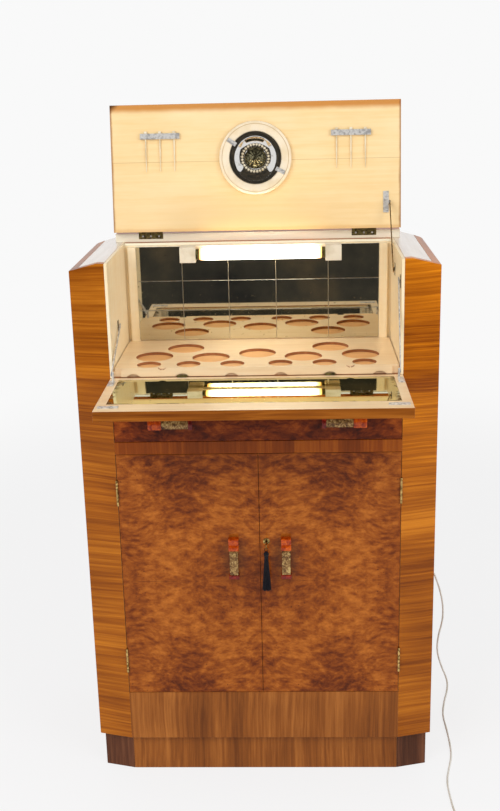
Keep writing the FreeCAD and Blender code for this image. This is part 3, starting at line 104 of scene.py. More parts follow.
camera_data = bpy.data.cameras.new("camera")
camera_data.sensor_width = LONG_SIDE
camera_data.lens = CAMERA_LENS
camera = placed("camera", camera_data)
camera_matrix = Matrix.Translation(CAMERA_PLACE)
for angle, axis in ((CAMERA_YAW, "Z"), (CAMERA_PITCH, "X"), (CAMERA_ROLL, "Z")):
    camera_matrix @= Matrix.Rotation(angle, 4, axis)
camera.matrix_world = camera_matrix
bpy.context.scene.camera = camera
print("camera looks along", rounded(-camera.matrix_world.col[2].xyz))

# %% [markdown]
# ## The power cord
#
# A thin cream mains lead leaves the back panel through a gland, drops to the floor beside the
# cabinet and runs forward. It could be swept as a mesh, but one NURBS spline keeps it smooth and
# lets its length be measured. The spare length is put away as five neat turns with its plug.

# %% Cord
CORD_DIAMETER = 4.4 * MM
CORD_ROUTE = (
    (320, 184, 420), (320, 240, 420), (335, 272, 397), (365, 276, 366), (399, 256, 337),
    (424, 226, 304), (440, 208, 262), (450, 205, 216), (450, 205, 172), (439, 203, 130),
    (436, 201, 88), (447, 198, 48), (464, 186, 10), (458, 148, 2.4), (443, 94, 2.4), (432, 36, 2.4),
    (434, -24, 2.4), (434, -84, 2.4), (431, -138, 2.4), (418, -188, 2.4), (407, -236, 2.4),
    (407, -290, 2.4), (409, -340, 2.4), (417, -384, 2.4), (430, -424, 2.4))
COIL_RADIUS = 24 * MM
COIL_RISE = 6 * MM
COIL_TURNS = 5
POINTS_PER_TURN = 16
LEAD_LENGTH = 88 * MM
LEAD_SHARES = ((0.22, 0.0), (0.48, 0.25), (0.72, 0.85), (0.9, 1.0), (1.05, 1.0))
PLUG_HEIGHT = 22 * MM

route = [Vector(point) * MM for point in CORD_ROUTE]
cord_way = (route[-1] - route[-2]).normalized()
coil_centre = route[-1] + Vector((cord_way.y, -cord_way.x, 0)) * COIL_RADIUS
first_angle = math.atan2(route[-1].y - coil_centre.y, route[-1].x - coil_centre.x)
# A quadratic spline runs inside its control points, so the points stand a little further out.
outside_radius = COIL_RADIUS / math.cos(math.pi / POINTS_PER_TURN) ** 0.5


def coil_place(step):
    """A point on the coil, a number of steps from its start, turning clockwise and rising."""
    turns = step / POINTS_PER_TURN
    angle = first_angle - math.tau * turns
    return coil_centre + Vector((outside_radius * math.cos(angle), outside_radius * math.sin(angle),
                                 COIL_RISE * turns))


coil = [coil_place(step) for step in range(1, COIL_TURNS * POINTS_PER_TURN)]
coil_end = route[-1] + Vector((0, 0, COIL_RISE * COIL_TURNS))
plug_place = route[-1] + cord_way * LEAD_LENGTH
plug_place.z = PLUG_HEIGHT / 2
lead = [route[-1].lerp(plug_place, along) for along, drop in LEAD_SHARES]
for point, (along, drop) in zip(lead, LEAD_SHARES):
    point.z = coil_end.z + (plug_place.z - coil_end.z) * drop


def nurbs_line(name, points, radius, sides=3, cyclic=False):
    """A round cord along a smooth spline."""
    curve = bpy.data.curves.new(name, "CURVE")
    curve.dimensions = "3D"
    curve.bevel_depth = radius
    curve.bevel_resolution = sides
    curve.use_fill_caps = True
    curve.resolution_u = 8
    spline = curve.splines.new("NURBS")
    spline.points.add(len(points) - 1)
    for target, point in zip(spline.points, points):
        target.co = (*point, 1)
    spline.order_u = 3
    spline.use_endpoint_u = not cyclic
    spline.use_cyclic_u = cyclic
    return placed(name, curve)


cord = nurbs_line("power_cord_line", route + coil + [coil_end] + lead, CORD_DIAMETER / 2)
print("cord points", len(cord.data.splines[0].points), "plug at", rounded(plug_place))

# %% [markdown]
# ## Writing shader sums as Python
#
# Blender's shader editor adds a Math node for every sum. The same nodes can be added in code one
# by one, but that hides what is worked out. This class wraps a socket and overloads + - * and /,
# so a pattern reads like a formula and each sign still makes its node. Colours are written as a
# paint chart gives them, and are turned into the shader's linear numbers when they are fed in.

# %% Shader helpers
class Wire:
    """One output of a node, which can be added to, scaled and so on."""

    def __init__(self, paint, socket):
        self.paint = paint
        self.socket = socket

    def maths(self, operation, *others):
        return self.paint.node("ShaderNodeMath", dict(enumerate((self, *others))), operation=operation)

    def __add__(self, other):
        return self.maths("ADD", other)

    def __sub__(self, other):
        return self.maths("SUBTRACT", other)

    def __mul__(self, other):
        return self.maths("MULTIPLY", other)

    def __truediv__(self, other):
        return self.maths("DIVIDE", other)

    def __abs__(self):
        return self.maths("ABSOLUTE")

    __radd__ = __add__


def linear(chart):
    """A paint chart's colour, 0 to 255, as the linear numbers that shaders take."""
    shares = [value / 255 for value in chart]
    return (*[share / 12.92 if share <= 0.04045 else ((share + 0.055) / 1.055) ** 2.4
              for share in shares], 1)


class Nodes:
    """A tree of shader nodes that can be added to and wired up."""

    def __init__(self, tree):
        self.tree = tree

    def node(self, kind, sockets=None, output=0, stops=(), **settings):
        """Adds a node: its settings first, then the values or links of its sockets."""
        made = self.tree.nodes.new(kind)
        for name, value in settings.items():
            setattr(made, name, value)
        for index, (position, colour) in enumerate(stops):
            elements = made.color_ramp.elements
            stop = elements[index] if index < 2 else elements.new(position)
            stop.position = position
            stop.color = linear(colour)
        for name, value in (sockets or {}).items():
            self.feed(made.inputs[name], value)
        return Wire(self, made.outputs[output])

    def feed(self, socket, value):
        """Links a wire to a socket, or sets the socket's own value."""
        if isinstance(value, Wire):
            self.tree.links.new(value.socket, socket)
        elif socket.type == "RGBA" and len(value) == 3:
            socket.default_value = linear(value)
        else:
            socket.default_value = value


class Paint(Nodes):
    """A material and the patterns that feed its shader."""

    def __init__(self, name, **settings):
        self.name = name
        self.material = bpy.data.materials.new(name)
        self.material.use_nodes = True
        super().__init__(self.material.node_tree)
        self.shader = self.tree.nodes["Principled BSDF"]
        self.place = self.node("ShaderNodeTexCoord", output="Object")
        self.set(**settings)

    def set(self, **sockets):
        """Sets the shader's own sockets, with _ for the spaces in their names."""
        for name, value in sockets.items():
            self.feed(self.shader.inputs[name.replace("_", " ").title().replace("Ior", "IOR")], value)

    def mix(self, share, first, second, blend="MIX"):
        return self.node("ShaderNodeMix", {0: share, 6: first, 7: second}, output=2,
                         data_type="RGBA", blend_type=blend)

    def ramp(self, value, *stops):
        return self.node("ShaderNodeValToRGB", {0: value}, stops=stops)

    def fade(self, value, low, high):
        """0 below low and 1 above high, with a soft step between. High may be the lower."""
        return self.node("ShaderNodeMapRange", {0: value, 1: low, 2: high},
                         interpolation_type="SMOOTHSTEP")

    def noise(self, scale, place=None, detail=4, roughness=0.5, distortion=0, output=0):
        return self.node("ShaderNodeTexNoise", {
            "Vector": place or self.place, "Scale": scale, "Detail": detail,
            "Roughness": roughness, "Distortion": distortion}, output=output)

    def grain(self, factors, place=None, detail=4, roughness=0.5):
        """A noise drawn out by its own factor on each axis, as wood's grain is."""
        drawn = self.node("ShaderNodeMapping", {"Vector": place or self.place, "Scale": factors})
        return self.noise(1, drawn, detail, roughness)

    def axes(self):
        cut = self.tree.nodes.new("ShaderNodeSeparateXYZ")
        self.feed(cut.inputs[0], self.place)
        return [Wire(self, output) for output in cut.outputs]

    def point(self, x, y, z):
        return self.node("ShaderNodeCombineXYZ", {0: x, 1: y, 2: z})

    def vectors(self, operation, first, second, output=0):
        return self.node("ShaderNodeVectorMath", {0: first, 1: second}, output=output,
                         operation=operation)


materials = {}


def finish(paint, colour, roughness, height=None, depth=0.0):
    """Feeds the shader with what varies over the surface, and files the material by name."""
    paint.set(base_color=colour, roughness=roughness)
    if height is not None:
        paint.set(normal=paint.node("ShaderNodeBump", {"Height": height, "Distance": depth,
                                                       "Strength": 0.5}))
    materials[paint.name] = paint.material

# %% [markdown]
# ## Straight walnut
#
# The canted pilasters, the sides and the plain rails are veneered in straight walnut under a
# hard shellac gloss. A picture of wood could be wrapped round them, but a noise drawn out along
# the grain never repeats and fits every board. Fine pores, slow colour bands and a slight waver
# are three such noises, and a coat over them gives the polish.

# %% Straight walnut
POLISH = 0.16
POLISH_ROUGHNESS = 0.08
SHEEN = 0.08
PORE_DEPTH = 0.05 * MM
UPRIGHT_GRAIN = (150, 150, 3)
UPRIGHT_BANDS = (13, 13, 0.8)
GOLDEN_SIDE = (200 * MM, 340 * MM)
GOLDEN_HEIGHT = (660 * MM, 900 * MM)
GOLDEN_FACTORS = (1.45, 1.5, 0.8, 1)


def polished(name):
    return Paint(name, coat_weight=POLISH, coat_roughness=POLISH_ROUGHNESS, specular_ior_level=SHEEN)


def straight_wood(name, grain, bands, dark, middle, light, golden=False):
    """Grain and bands are how often two noises repeat in a metre along each axis.

    A golden veneer is paler towards the upper right."""
    paint = polished(name)
    waver = paint.noise(2.5, detail=2) * 0.03
    x, y, z = paint.axes()
    moved = paint.point(x + waver, y + waver, z + waver)
    pores = paint.grain(grain, moved, detail=6, roughness=0.65)
    band = paint.grain(bands, moved, detail=3)
    colour = paint.ramp((pores + band) * 0.5, (0.36, dark), (0.5, middle), (0.63, light))
    cloud = paint.noise(5, detail=2)
    colour = paint.mix(paint.fade(cloud, 0.35, 0.75) * 0.25, colour, dark, "MULTIPLY")
    if golden:
        upper_right = paint.fade(x, *GOLDEN_SIDE) * paint.fade(z + cloud * 0.1, *GOLDEN_HEIGHT)
        colour = paint.mix(upper_right, colour, GOLDEN_FACTORS, "MULTIPLY")
    finish(paint, colour, 0.24 + pores * 0.12, pores, PORE_DEPTH)


straight_wood("walnut_level", (3, 3, 190), (1.2, 1.2, 14), (116, 54, 6), (168, 92, 14),
              (208, 126, 30), golden=True)
straight_wood("walnut_upright", UPRIGHT_GRAIN, UPRIGHT_BANDS, (112, 60, 20), (150, 86, 32),
              (184, 114, 50))
# A darker copy of the upright walnut: painted shade for the plinth's canted corners.
straight_wood("walnut_shade", UPRIGHT_GRAIN, UPRIGHT_BANDS, (66, 34, 18), (98, 56, 34), (128, 80, 52))
straight_wood("walnut_edge", (3, 160, 160), (1.5, 20, 20), (104, 50, 12), (150, 84, 22), (184, 112, 40))
print("materials so far", sorted(materials))

# %% [markdown]
# ## Banded rail
#
# The rail over the doors is cross-banded: short pieces of veneer set side by side with their
# grain upright, each a little lighter or darker than the next. A White Noise node gives each
# piece its own tone from the number of the piece along the rail.

# %% Banded rail
BAND_WIDTH = 46 * MM
FIRST_BAND = 0.35


def banded_wood():
    paint = polished("walnut_banded")
    x, y, z = paint.axes()
    number = (x / BAND_WIDTH + FIRST_BAND).maths("FLOOR")
    own = paint.node("ShaderNodeTexWhiteNoise", {"W": number}, noise_dimensions="1D")
    pores = paint.grain((170, 8, 6), paint.point(x, y + number, z), detail=6, roughness=0.6)
    tone = pores * 0.6 + own * 0.24 + 0.09
    colour = paint.ramp(tone, (0.22, (92, 38, 6)), (0.5, (134, 62, 10)), (0.8, (178, 96, 22)))
    finish(paint, colour, 0.16 + pores * 0.1, pores, PORE_DEPTH)


banded_wood()

# %% [markdown]
# ## Burr walnut
#
# The doors and the drawer wear burr walnut, cut from a knotty growth, so the grain swirls and is
# dotted with tiny eyes. Four sheets cut one after another are opened like a book about the
# doors' meeting edge and about a level joint, so the pattern mirrors itself. Taking the absolute
# value of the place before the noise does just that. Round the handles it is painted darker. The
# drawer front's copy is darker all over: a painted shade, standing for the flap's shadow above it.

# %% Burr walnut
DOOR_JOINT_HEIGHT = 478 * MM
DOOR_HANDLE = Vector((56, 0, 535.5)) * MM
WARP = Vector((60, 60, 60)) * MM
HALO_HEIGHT = 535 * MM
HALO_REACH = (52 * MM, 22 * MM)
HALO_SQUASH = 0.7


def burr_wood(name, joint_height, dark, low, middle, light, flow=1.0):
    """Flow is how much faster than the doors' the figure changes along the wood."""
    paint = polished(name)
    x, y, z = paint.axes()
    side = abs(x)
    level = abs(z - joint_height)
    folded = paint.point(side, y, level + (z - joint_height) * 0.04)
    swirl = paint.vectors("SUBTRACT", paint.noise(7 * flow, folded, detail=3, output=1), (0.5, 0.5, 0.5))
    warped = paint.vectors("ADD", folded, paint.vectors("MULTIPLY", swirl, WARP))
    figure = paint.grain((44, 44, 78), warped, detail=8, roughness=0.66)
    curl = paint.grain((110, 110, 220), warped, roughness=0.6)
    patch = paint.noise(6 * flow, warped, detail=2)
    tone = figure * 0.52 + curl * 0.12 + patch * 0.4 - 0.02
    colour = paint.ramp(tone, (0.36, dark), (0.46, low), (0.54, middle), (0.66, light))
    eyes = paint.node("ShaderNodeTexVoronoi", {"Vector": warped, "Scale": 85})
    eye = paint.fade(eyes, 0.16, 0.05) * paint.fade(paint.noise(11, folded, detail=1), 0.52, 0.62)
    colour = paint.mix(eye * 0.75, colour, dark)
    seam = paint.fade(level, 0.7 * MM, 0.2 * MM) * paint.fade(paint.noise(30, detail=1), 0.42, 0.5)
    colour = paint.mix(seam * 0.6, colour, dark)
    # The wood is painted darker round each door handle.
    reach = paint.vectors("DISTANCE", paint.point(side, 0, z * HALO_SQUASH),
                          (DOOR_HANDLE.x, 0, HALO_HEIGHT * HALO_SQUASH), output="Value")
    darker_round_handles = paint.fade(reach + figure * 20 * MM, *HALO_REACH)
    colour = paint.mix(darker_round_handles * 0.4, colour, (74, 46, 34))
    finish(paint, colour, 0.17 + curl * 0.12, figure, 0.06 * MM)


burr_wood("walnut_burr", DOOR_JOINT_HEIGHT, (62, 22, 6), (112, 50, 12), (148, 76, 20), (190, 110, 38))
# The drawer's copy is darker as a painted shade, for the shadow that the flap above casts on it.
burr_wood("walnut_burr_dark", 0.0, (40, 10, 3), (82, 28, 5), (118, 48, 8), (164, 80, 20), flow=1.5)

# %% [markdown]
# ## Pale veneer and cream lacquer
#
# Inside, the bar is sycamore: almost white wood under a yellowed varnish, browner where hands
# and glasses have rubbed its borders. The borders are known from the sizes of the boards, so
# their distance is worked out from the place itself and no mask has to be painted. Over the lid's
# foot, beside the lamp, the veneer carries a painted shade where the lamp lights it strongly.

# %% Pale woods
LID_AXIS = Vector((0, 82, 1194.9)) * MM
LID_LEAN = math.radians(8)
LID_UP = Vector((0, math.sin(LID_LEAN), math.cos(LID_LEAN)))
LID_IN = Vector((0, -math.cos(LID_LEAN), math.sin(LID_LEAN)))
LID_HALF = 315 * MM
LID_TOP = 273.75 * MM
LID_SEAM = 151 * MM
CORNER_SLOPE = 0.9
# The painted shade over the lid's foot reaches this high and this far to each side.
SHADE_FOOT_HEIGHT = (120 * MM, 4 * MM)
SHADE_FOOT_SIDE = (270 * MM, 60 * MM)
VARNISH_DEPTH = 0.04 * MM


def pale_tone(paint, grain, dark, middle, light):
    pores = paint.grain(grain, detail=5, roughness=0.6)
    cloud = paint.noise(4, detail=3)
    fleck = paint.grain((26, 26, 90), detail=2)
    tone = pores * 0.45 + cloud * 0.4 + fleck * 0.15
    return paint.ramp(tone, (0.32, dark), (0.5, middle), (0.66, light)), pores


def up_lid(y, z, start):
    """How far a place is up the leaning lid from a start."""
    return (y - start.y) * LID_UP.y + (z - start.z) * LID_UP.z


def lid_inner():
    """Pale veneer with a painted shade over its foot, brown top and sides, a worn lower edge, a dark corner
    and a seam.
    """
    paint = Paint("sycamore_lid", coat_weight=0.08, coat_roughness=0.25, specular_ior_level=0.2)
    colour, pores = pale_tone(paint, (5, 5, 120), (243, 207, 145), (249, 218, 163), (253, 226, 178))
    x, y, z = paint.axes()
    along = up_lid(y, z, LID_AXIS)
    ragged = paint.noise(30, detail=3) * 4 * MM
    corner = LID_TOP + LID_HALF * CORNER_SLOPE
    marks = (
        # The first mark is a painted shade over the lid's foot beside the lamp, darkening the veneer where
        # the lamp lights it strongly.
        (paint.fade(along, *SHADE_FOOT_HEIGHT) * paint.fade(abs(x), *SHADE_FOOT_SIDE) * 0.9, (210, 180, 132)),
        (paint.fade(along + ragged, LID_TOP - 19 * MM, LID_TOP - 5 * MM) * 0.85, (200, 124, 36)),
        (paint.fade(abs(x) + ragged, LID_HALF - 4 * MM, LID_HALF + 1 * MM) * 0.75, (150, 88, 42)),
        (paint.fade(along - ragged, 9 * MM, 2 * MM) * 0.35, (214, 150, 70)),
        (paint.fade(along - x * CORNER_SLOPE + ragged * 2, corner - 20 * MM, corner) * 0.9, (70, 44, 24)),
        (paint.fade(abs(along - LID_SEAM), 0.9 * MM, 0.2 * MM) * 0.45, (170, 122, 66)))
    for share, shade in marks:
        colour = paint.mix(share, colour, shade)
    finish(paint, colour, 0.34 + pores * 0.15, pores, VARNISH_DEPTH)


def pale_wood(name, grain, dark, middle, light, coat=0.35, roughness=0.35):
    paint = Paint(name, coat_weight=coat, coat_roughness=0.25)
    colour, pores = pale_tone(paint, grain, dark, middle, light)
    finish(paint, colour, roughness + pores * 0.15, pores, VARNISH_DEPTH)


lid_inner()
pale_wood("sycamore_upright", (90, 90, 4), (244, 218, 170), (252, 232, 192), (255, 242, 212))
pale_wood("sycamore_tray", (5, 90, 90), (236, 200, 152), (247, 217, 174), (253, 229, 192))
pale_wood("cream_strip", (4, 120, 120), (246, 238, 208), (252, 246, 222), (254, 250, 232))
pale_wood("peach_floor", (6, 60, 60), (216, 158, 98), (232, 176, 116), (242, 192, 136), 0.1, 0.5)
pale_wood("bare_wood", (60, 60, 4), (150, 108, 66), (178, 134, 88), (198, 156, 108), 0.0, 0.6)
pale_wood("bare_edge", (60, 60, 20), (120, 70, 38), (152, 94, 54), (180, 122, 78), 0.0, 0.6)

# %% [markdown]
# ## Metals, plastics and thread
#
# Old plated and cast metal is never even: it dulls in clouds and darkens where fingers don't
# reach. Each metal mixes a bright and a tarnished tone by a noise, and is rougher where it is
# tarnished. The handles' cast resin is marbled, so its noise is bent by another noise.

# %% Metals and plastics
def worn_metal(name, bright, dull, scale, smooth=0.12, rough=0.4, spread=(0.42, 0.62), metallic=1.0):
    """Spread says from where to where the noise turns bright metal dull."""
    paint = Paint(name, metallic=metallic)
    cloud = paint.noise(scale, detail=5, roughness=0.6)
    wear = paint.fade(cloud, *spread)
    finish(paint, paint.mix(wear, bright, dull), smooth + wear * (rough - smooth), cloud, 0.02 * MM)


worn_metal("chrome", (226, 224, 220), (176, 170, 160), 60, 0.06, 0.2, (0.55, 0.8))
worn_metal("brass", (214, 178, 110), (128, 98, 54), 140, 0.2, 0.5)
worn_metal("bronze", (128, 116, 68), (66, 58, 34), 170, 0.3, 0.55, metallic=0.4)
worn_metal("steel", (176, 170, 158), (104, 96, 84), 120, 0.2, 0.5)
worn_metal("dull_plate", (132, 126, 96), (46, 42, 28), 210, 0.16, 0.4, metallic=0.85)
worn_metal("silver_bar", (228, 226, 222), (172, 170, 168), 110, 0.3, 0.5, metallic=0.3)


def marbled(name, light, middle, dark, scale, gloss=0.1, metallic=0.0):
    paint = Paint(name, coat_weight=0.3, coat_roughness=0.05, specular_ior_level=0.2, metallic=metallic)
    swirl = paint.noise(scale, roughness=0.55, distortion=1.6)
    vein = paint.noise(scale * 2.4, detail=6, roughness=0.7, distortion=0.8)
    colour = paint.ramp(swirl * 0.6 + vein * 0.4, (0.38, dark), (0.5, middle), (0.6, light))
    finish(paint, colour, gloss + vein * 0.15, vein, 0.03 * MM)


marbled("orange_resin", (206, 90, 8), (174, 62, 4), (124, 36, 2), 60)
marbled("red_resin", (164, 50, 20), (128, 28, 12), (84, 12, 8), 70)
marbled("mottled_strap", (196, 164, 104), (136, 98, 52), (58, 34, 14), 85, 0.2, 0.3)


def plastic(name, light, dark, roughness=0.35, scale=40, coat=0.2):
    paint = Paint(name, coat_weight=coat)
    cloud = paint.noise(scale)
    fine = paint.noise(scale * 14, detail=2)
    colour = paint.mix(paint.fade(cloud, 0.4, 0.7), light, dark)
    finish(paint, colour, roughness + fine * 0.15, fine, 0.02 * MM)


plastic("ivory", (240, 228, 200), (214, 196, 160))
plastic("white_ceramic", (238, 228, 206), (220, 206, 178), 0.3)
plastic("cord_plastic", (232, 228, 218), (214, 208, 192), 0.45, 25, 0.0)
plastic("black_thread", (20, 20, 30), (10, 9, 14), 0.7, 260, 0.0)
print("finishes", len(materials))

# %% [markdown]
# ## Mirror glass
#
# The back of the bar and the flap hold silvered glass. A perfectly clean mirror looks like a
# hole in the cabinet, so the silver is a touch grey-green, a little rougher in faint clouds, and
# the flap's glass is speckled where it has lost its silver along the border. In the picture the
# flap's glass shows the lamp, as a glass bedded a few degrees out of level does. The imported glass
# is level, so only the direction in which it reflects is leant.

# %% Mirrors
FLAP_GLASS_LEAN = math.radians(8)
SPECKLED_SIDE = 14 * MM
SPECKLED_BACK = 6 * MM
SPECKLED_FRONT = 8 * MM


def leant(paint, lean):
    """Turns the direction in which a level glass reflects, and leaves its shape."""
    straight = paint.node("ShaderNodeNewGeometry", output="Normal")
    tilt = paint.node("ShaderNodeVectorTransform", {"Vector": (0, -math.tan(lean), 0)},
                      vector_type="VECTOR", convert_from="OBJECT", convert_to="WORLD")
    paint.set(normal=paint.vectors("NORMALIZE", paint.vectors("ADD", straight, tilt), (0, 0, 0)))


def mirror_glass(name, silver, spot, box=None, lean=0):
    """A glass with a box is speckled along that box's border."""
    paint = Paint(name, metallic=1.0)
    if lean:
        leant(paint, lean)
    cloud = paint.noise(9, roughness=0.6)
    wear = paint.fade(paint.noise(160, detail=3), 0.66, 0.72) * 0.5
    if box:
        low, high = box
        x, y, z = paint.axes()
        side = paint.fade(abs(x), high.x - SPECKLED_SIDE, high.x)
        back = paint.fade(y, high.y - SPECKLED_BACK, high.y)
        front = paint.fade(y, low.y + SPECKLED_FRONT, low.y)
        border = (side + back + front).maths("MINIMUM", 1)
        wear = (wear + border * paint.fade(paint.noise(70), 0.46, 0.58)).maths("MINIMUM", 1)
    finish(paint, paint.mix(wear, silver, spot), 0.015 + cloud * 0.02 + wear * 0.35)


mirror_glass("back_mirror_glass", (222, 220, 206), (150, 140, 110))
mirror_glass("flap_mirror_glass", (214, 212, 176), (120, 104, 62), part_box("flap_mirror"), FLAP_GLASS_LEAN)

# %% [markdown]
# ## Lamp glass
#
# The strip lamp is alight. Its opal glass glows, brighter along the middle than at the darkened
# ends, so the glow is an emission colour that fades by the place along the tube. It gives the
# tray its warm light as well, with no extra lamp needed.

# %% Lamp glass
tube_low, tube_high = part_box("lamp_tube")
LAMP_MIDDLE_X = (tube_low.x + tube_high.x) / 2
LAMP_CAP = 8 * MM
LAMP_HALF = (tube_high.x - tube_low.x) / 2 - LAMP_CAP
DARK_END = 26 * MM


def lamp_glass():
    paint = Paint("lit_glass", emission_strength=12, coat_weight=0.5)
    x, y, z = paint.axes()
    ends = paint.fade(abs(x - LAMP_MIDDLE_X), LAMP_HALF - DARK_END, LAMP_HALF)
    paint.set(emission_color=paint.mix(ends, (255, 246, 224), (128, 92, 46)))
    cloud = paint.noise(50, detail=2)
    finish(paint, paint.mix(ends, (250, 246, 232), (170, 140, 96)), 0.2 + cloud * 0.1)


lamp_glass()
print("lamp middle and half length", rounded((LAMP_MIDDLE_X, LAMP_HALF)))

# %% [markdown]
# ## Boards with eased edges
#
# A joiner takes the sharp corner off every board, and that thin line of light is what makes wood
# look solid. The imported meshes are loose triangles, so each is copied, its doubled points are
# merged, flat faces are cleaned, the bevel is applied, and the copy replaces the CAD node. Boards
# that only touch must not be welded, so every solid of a node is worked on by itself: a solid's
# triangles stand together, and it ends where each of its edges has met its neighbour. Smooth
# shading would bend what mirrors and polish show, so the normals are weighted by face size.

# %% Edge easing
DOUBLES = 0.002 * MM


def only(item):
    """Selects one object and nothing else."""
    bpy.ops.object.select_all(action="DESELECT")
    item.select_set(True)
    bpy.context.view_layer.objects.active = item


def mode(name):
    bpy.ops.object.mode_set(mode=name)


def editing(item):
    """Opens an object in edit mode with everything selected."""
    only(item)
    mode("EDIT")
    bpy.ops.mesh.select_all(action="SELECT")


def picked(item, kind, test):
    """Opens an object in edit mode with only the points or faces selected that pass a test."""
    editing(item)
    bpy.ops.mesh.select_mode(type=kind)
    bpy.ops.mesh.select_all(action="DESELECT")
    mode("OBJECT")
    for part in item.data.vertices if kind == "VERT" else item.data.polygons:
        part.select = test(part)
    mode("EDIT")


def dressed(item, *names):
    """Gives an object its finishes, in slot order."""
    item.data.materials.clear()
    for name in names:
        item.data.materials.append(materials[name])
    return item


def modified(item, kind, **settings):
    """Gives an object a modifier and applies it."""
    only(item)
    modifier = item.modifiers.new(kind, kind)
    for name, value in settings.items():
        setattr(modifier, name, value)
    bpy.ops.object.modifier_apply(modifier=modifier.name)
    return item


def bevelled(item, width, segments=2, angle=30):
    return modified(item, "BEVEL", width=width, segments=segments, limit_method="ANGLE",
                    angle_limit=math.radians(angle))


def smoothed(item, angle=35):
    only(item)
    bpy.ops.object.shade_smooth_by_angle(angle=math.radians(angle))
    return item


def joined(name, items):
    """Makes one object of several, each keeping its own finishes."""
    only(items[0])
    for item in items:
        item.select_set(True)
    bpy.ops.object.join()
    items[0].name = name
    return items[0]


def settled(item, node):
    """The finished piece rides where its CAD node rides, and stands for it."""
    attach(item, nodes[node]["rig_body"])
    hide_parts(node)


def assembled(node, parts, angle=35):
    """Joins the parts of a modelled piece and puts it in its node's place."""
    item = smoothed(joined(f"{node}_made", parts), angle)
    settled(item, node)
    return item


def solids_of(mesh):
    """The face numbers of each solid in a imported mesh."""
    solids = [set()]
    unmet = set()
    for face in mesh.polygons:
        solids[-1].add(face.index)
        corners = [tuple(mesh.vertices[number].co) for number in face.vertices]
        for first, second in zip(corners, corners[1:] + corners[:1]):
            if first != second:
                unmet ^= {(min(first, second), max(first, second))}
        if not unmet:
            solids.append(set())
    return [faces for faces in solids if faces]


def solid_copy(node, faces):
    """A copy of one solid of a CAD node, its doubles merged and its flat faces whole."""
    item = placed(f"{node}_solid", nodes[node].data.copy())
    picked(item, "FACE", lambda face: face.index not in faces)
    bpy.ops.mesh.delete(type="FACE")
    bpy.ops.mesh.select_mode(type="VERT")
    bpy.ops.mesh.select_all(action="SELECT")
    bpy.ops.mesh.remove_doubles(threshold=DOUBLES)
    bpy.ops.mesh.dissolve_limited(angle_limit=math.radians(0.5))
    mode("OBJECT")
    return item


def eased(node, width, *finishes, chosen=None):
    """Puts an eased copy in a node's place. The chooser picks a finish number for each face."""
    items = []
    for faces in solids_of(nodes[node].data):
        item = dressed(solid_copy(node, faces), *finishes)
        for face in item.data.polygons if chosen else ():
            face.material_index = chosen(face.center, face.normal)
        items.append(bevelled(item, width))
    item = smoothed(joined(f"{node}_made", items))
    settled(modified(item, "WEIGHTED_NORMAL", weight=100, keep_sharp=True), node)


# %% [markdown]
# ## The case
#
# Every board gets its own veneer and grain direction: level on the pilasters and sides, upright
# on the apron and plinth, banded on the rail. A board can show two woods, so the chooser looks
# at each face's direction: the back and the hidden faces stay bare.

# %% Case boards
EASE = 0.9 * MM
FINE_EASE = 0.5 * MM
# A face looks a way when its normal reaches at least this far along that way.
FACING = 0.9


def bare_behind(centre, normal):
    return int(normal.y > FACING)


def front_edge(centre, normal):
    return int(normal.y < -FACING)


def bare_inside(centre, normal):
    """Walnut on the faces that show from outside and bare wood on those that look inwards."""
    inward = normal.x * centre.x < 0 and abs(normal.x) > 0.5
    return int(inward or normal.y > FACING or normal.z < -FACING)


def plinth_faces(centre, normal):
    """The canted corner boards get a darker copy of the upright walnut, a painted shade."""
    canted = normal.y < -0.3 and abs(normal.x) > 0.1
    return bare_inside(centre, normal) or (2 if canted else 0)


for name in ("pilasters", "side_panels"):
    eased(name, EASE, "walnut_level", "bare_wood", chosen=bare_inside)
# The plinth's canted corners take the painted shade.
eased("plinth_boards", EASE, "walnut_upright", "bare_wood", "walnut_shade", chosen=plinth_faces)
for name, veneer in (("apron_panel", "walnut_upright"), ("door_rail", "walnut_banded"),
                     ("hinge_rail", "walnut_upright"), ("bar_walls", "sycamore_upright")):
    eased(name, FINE_EASE, veneer, "bare_wood", chosen=bare_behind)
for name in ("cupboard_floor", "cupboard_shelf", "cupboard_walls", "runner_board", "back_panel",
             "bearers", "drawer_box"):
    eased(name, FINE_EASE, "bare_wood")
eased("bar_floor", FINE_EASE, "peach_floor", "sycamore_tray", chosen=front_edge)

# %% [markdown]
# ## Wing tops
#
# The two sloping tops are polished walnut too, but seen almost edge on, where polish turns into
# a mirror and shows the pale room. A slightly denser coat gives part of that strong sheen, and the
# rest is a painted sheen: the walnut's colour is set a pale greyish brown. The grain under it stays.

# %% Wing tops
def wing_polish_and_painted_sheen():
    paint = Paint("walnut_polished", coat_weight=1.0, coat_roughness=0.12, coat_ior=2.0)
    pores = paint.grain((60, 5, 60), detail=5, roughness=0.6)
    cloud = paint.noise(7, detail=3)
    # These pale colours are a painted sheen: the room reflected in the polish, painted into the walnut.
    colour = paint.ramp(pores * 0.5 + cloud * 0.5, (0.3, (158, 120, 88)), (0.5, (206, 178, 150)),
                        (0.7, (230, 214, 194)))
    finish(paint, colour, 0.22 + cloud * 0.15, pores, VARNISH_DEPTH)


wing_polish_and_painted_sheen()
eased("wing_tops", EASE, "walnut_polished", "bare_wood", chosen=bare_inside)

# %% [markdown]
# ## Doors and drawer front
#
# Both doors share one veneer material, which mirrors itself about the meeting edge. Their edges
# are lipped in plain walnut and the inner faces are left bare, so the chooser gives burr only to
# the face that looks forward.

# %% Doors and drawer
DOOR_EASE = 0.7 * MM


def burr_front(centre, normal):
    if front_edge(centre, normal):
        return 0
    return 1 + bare_behind(centre, normal)


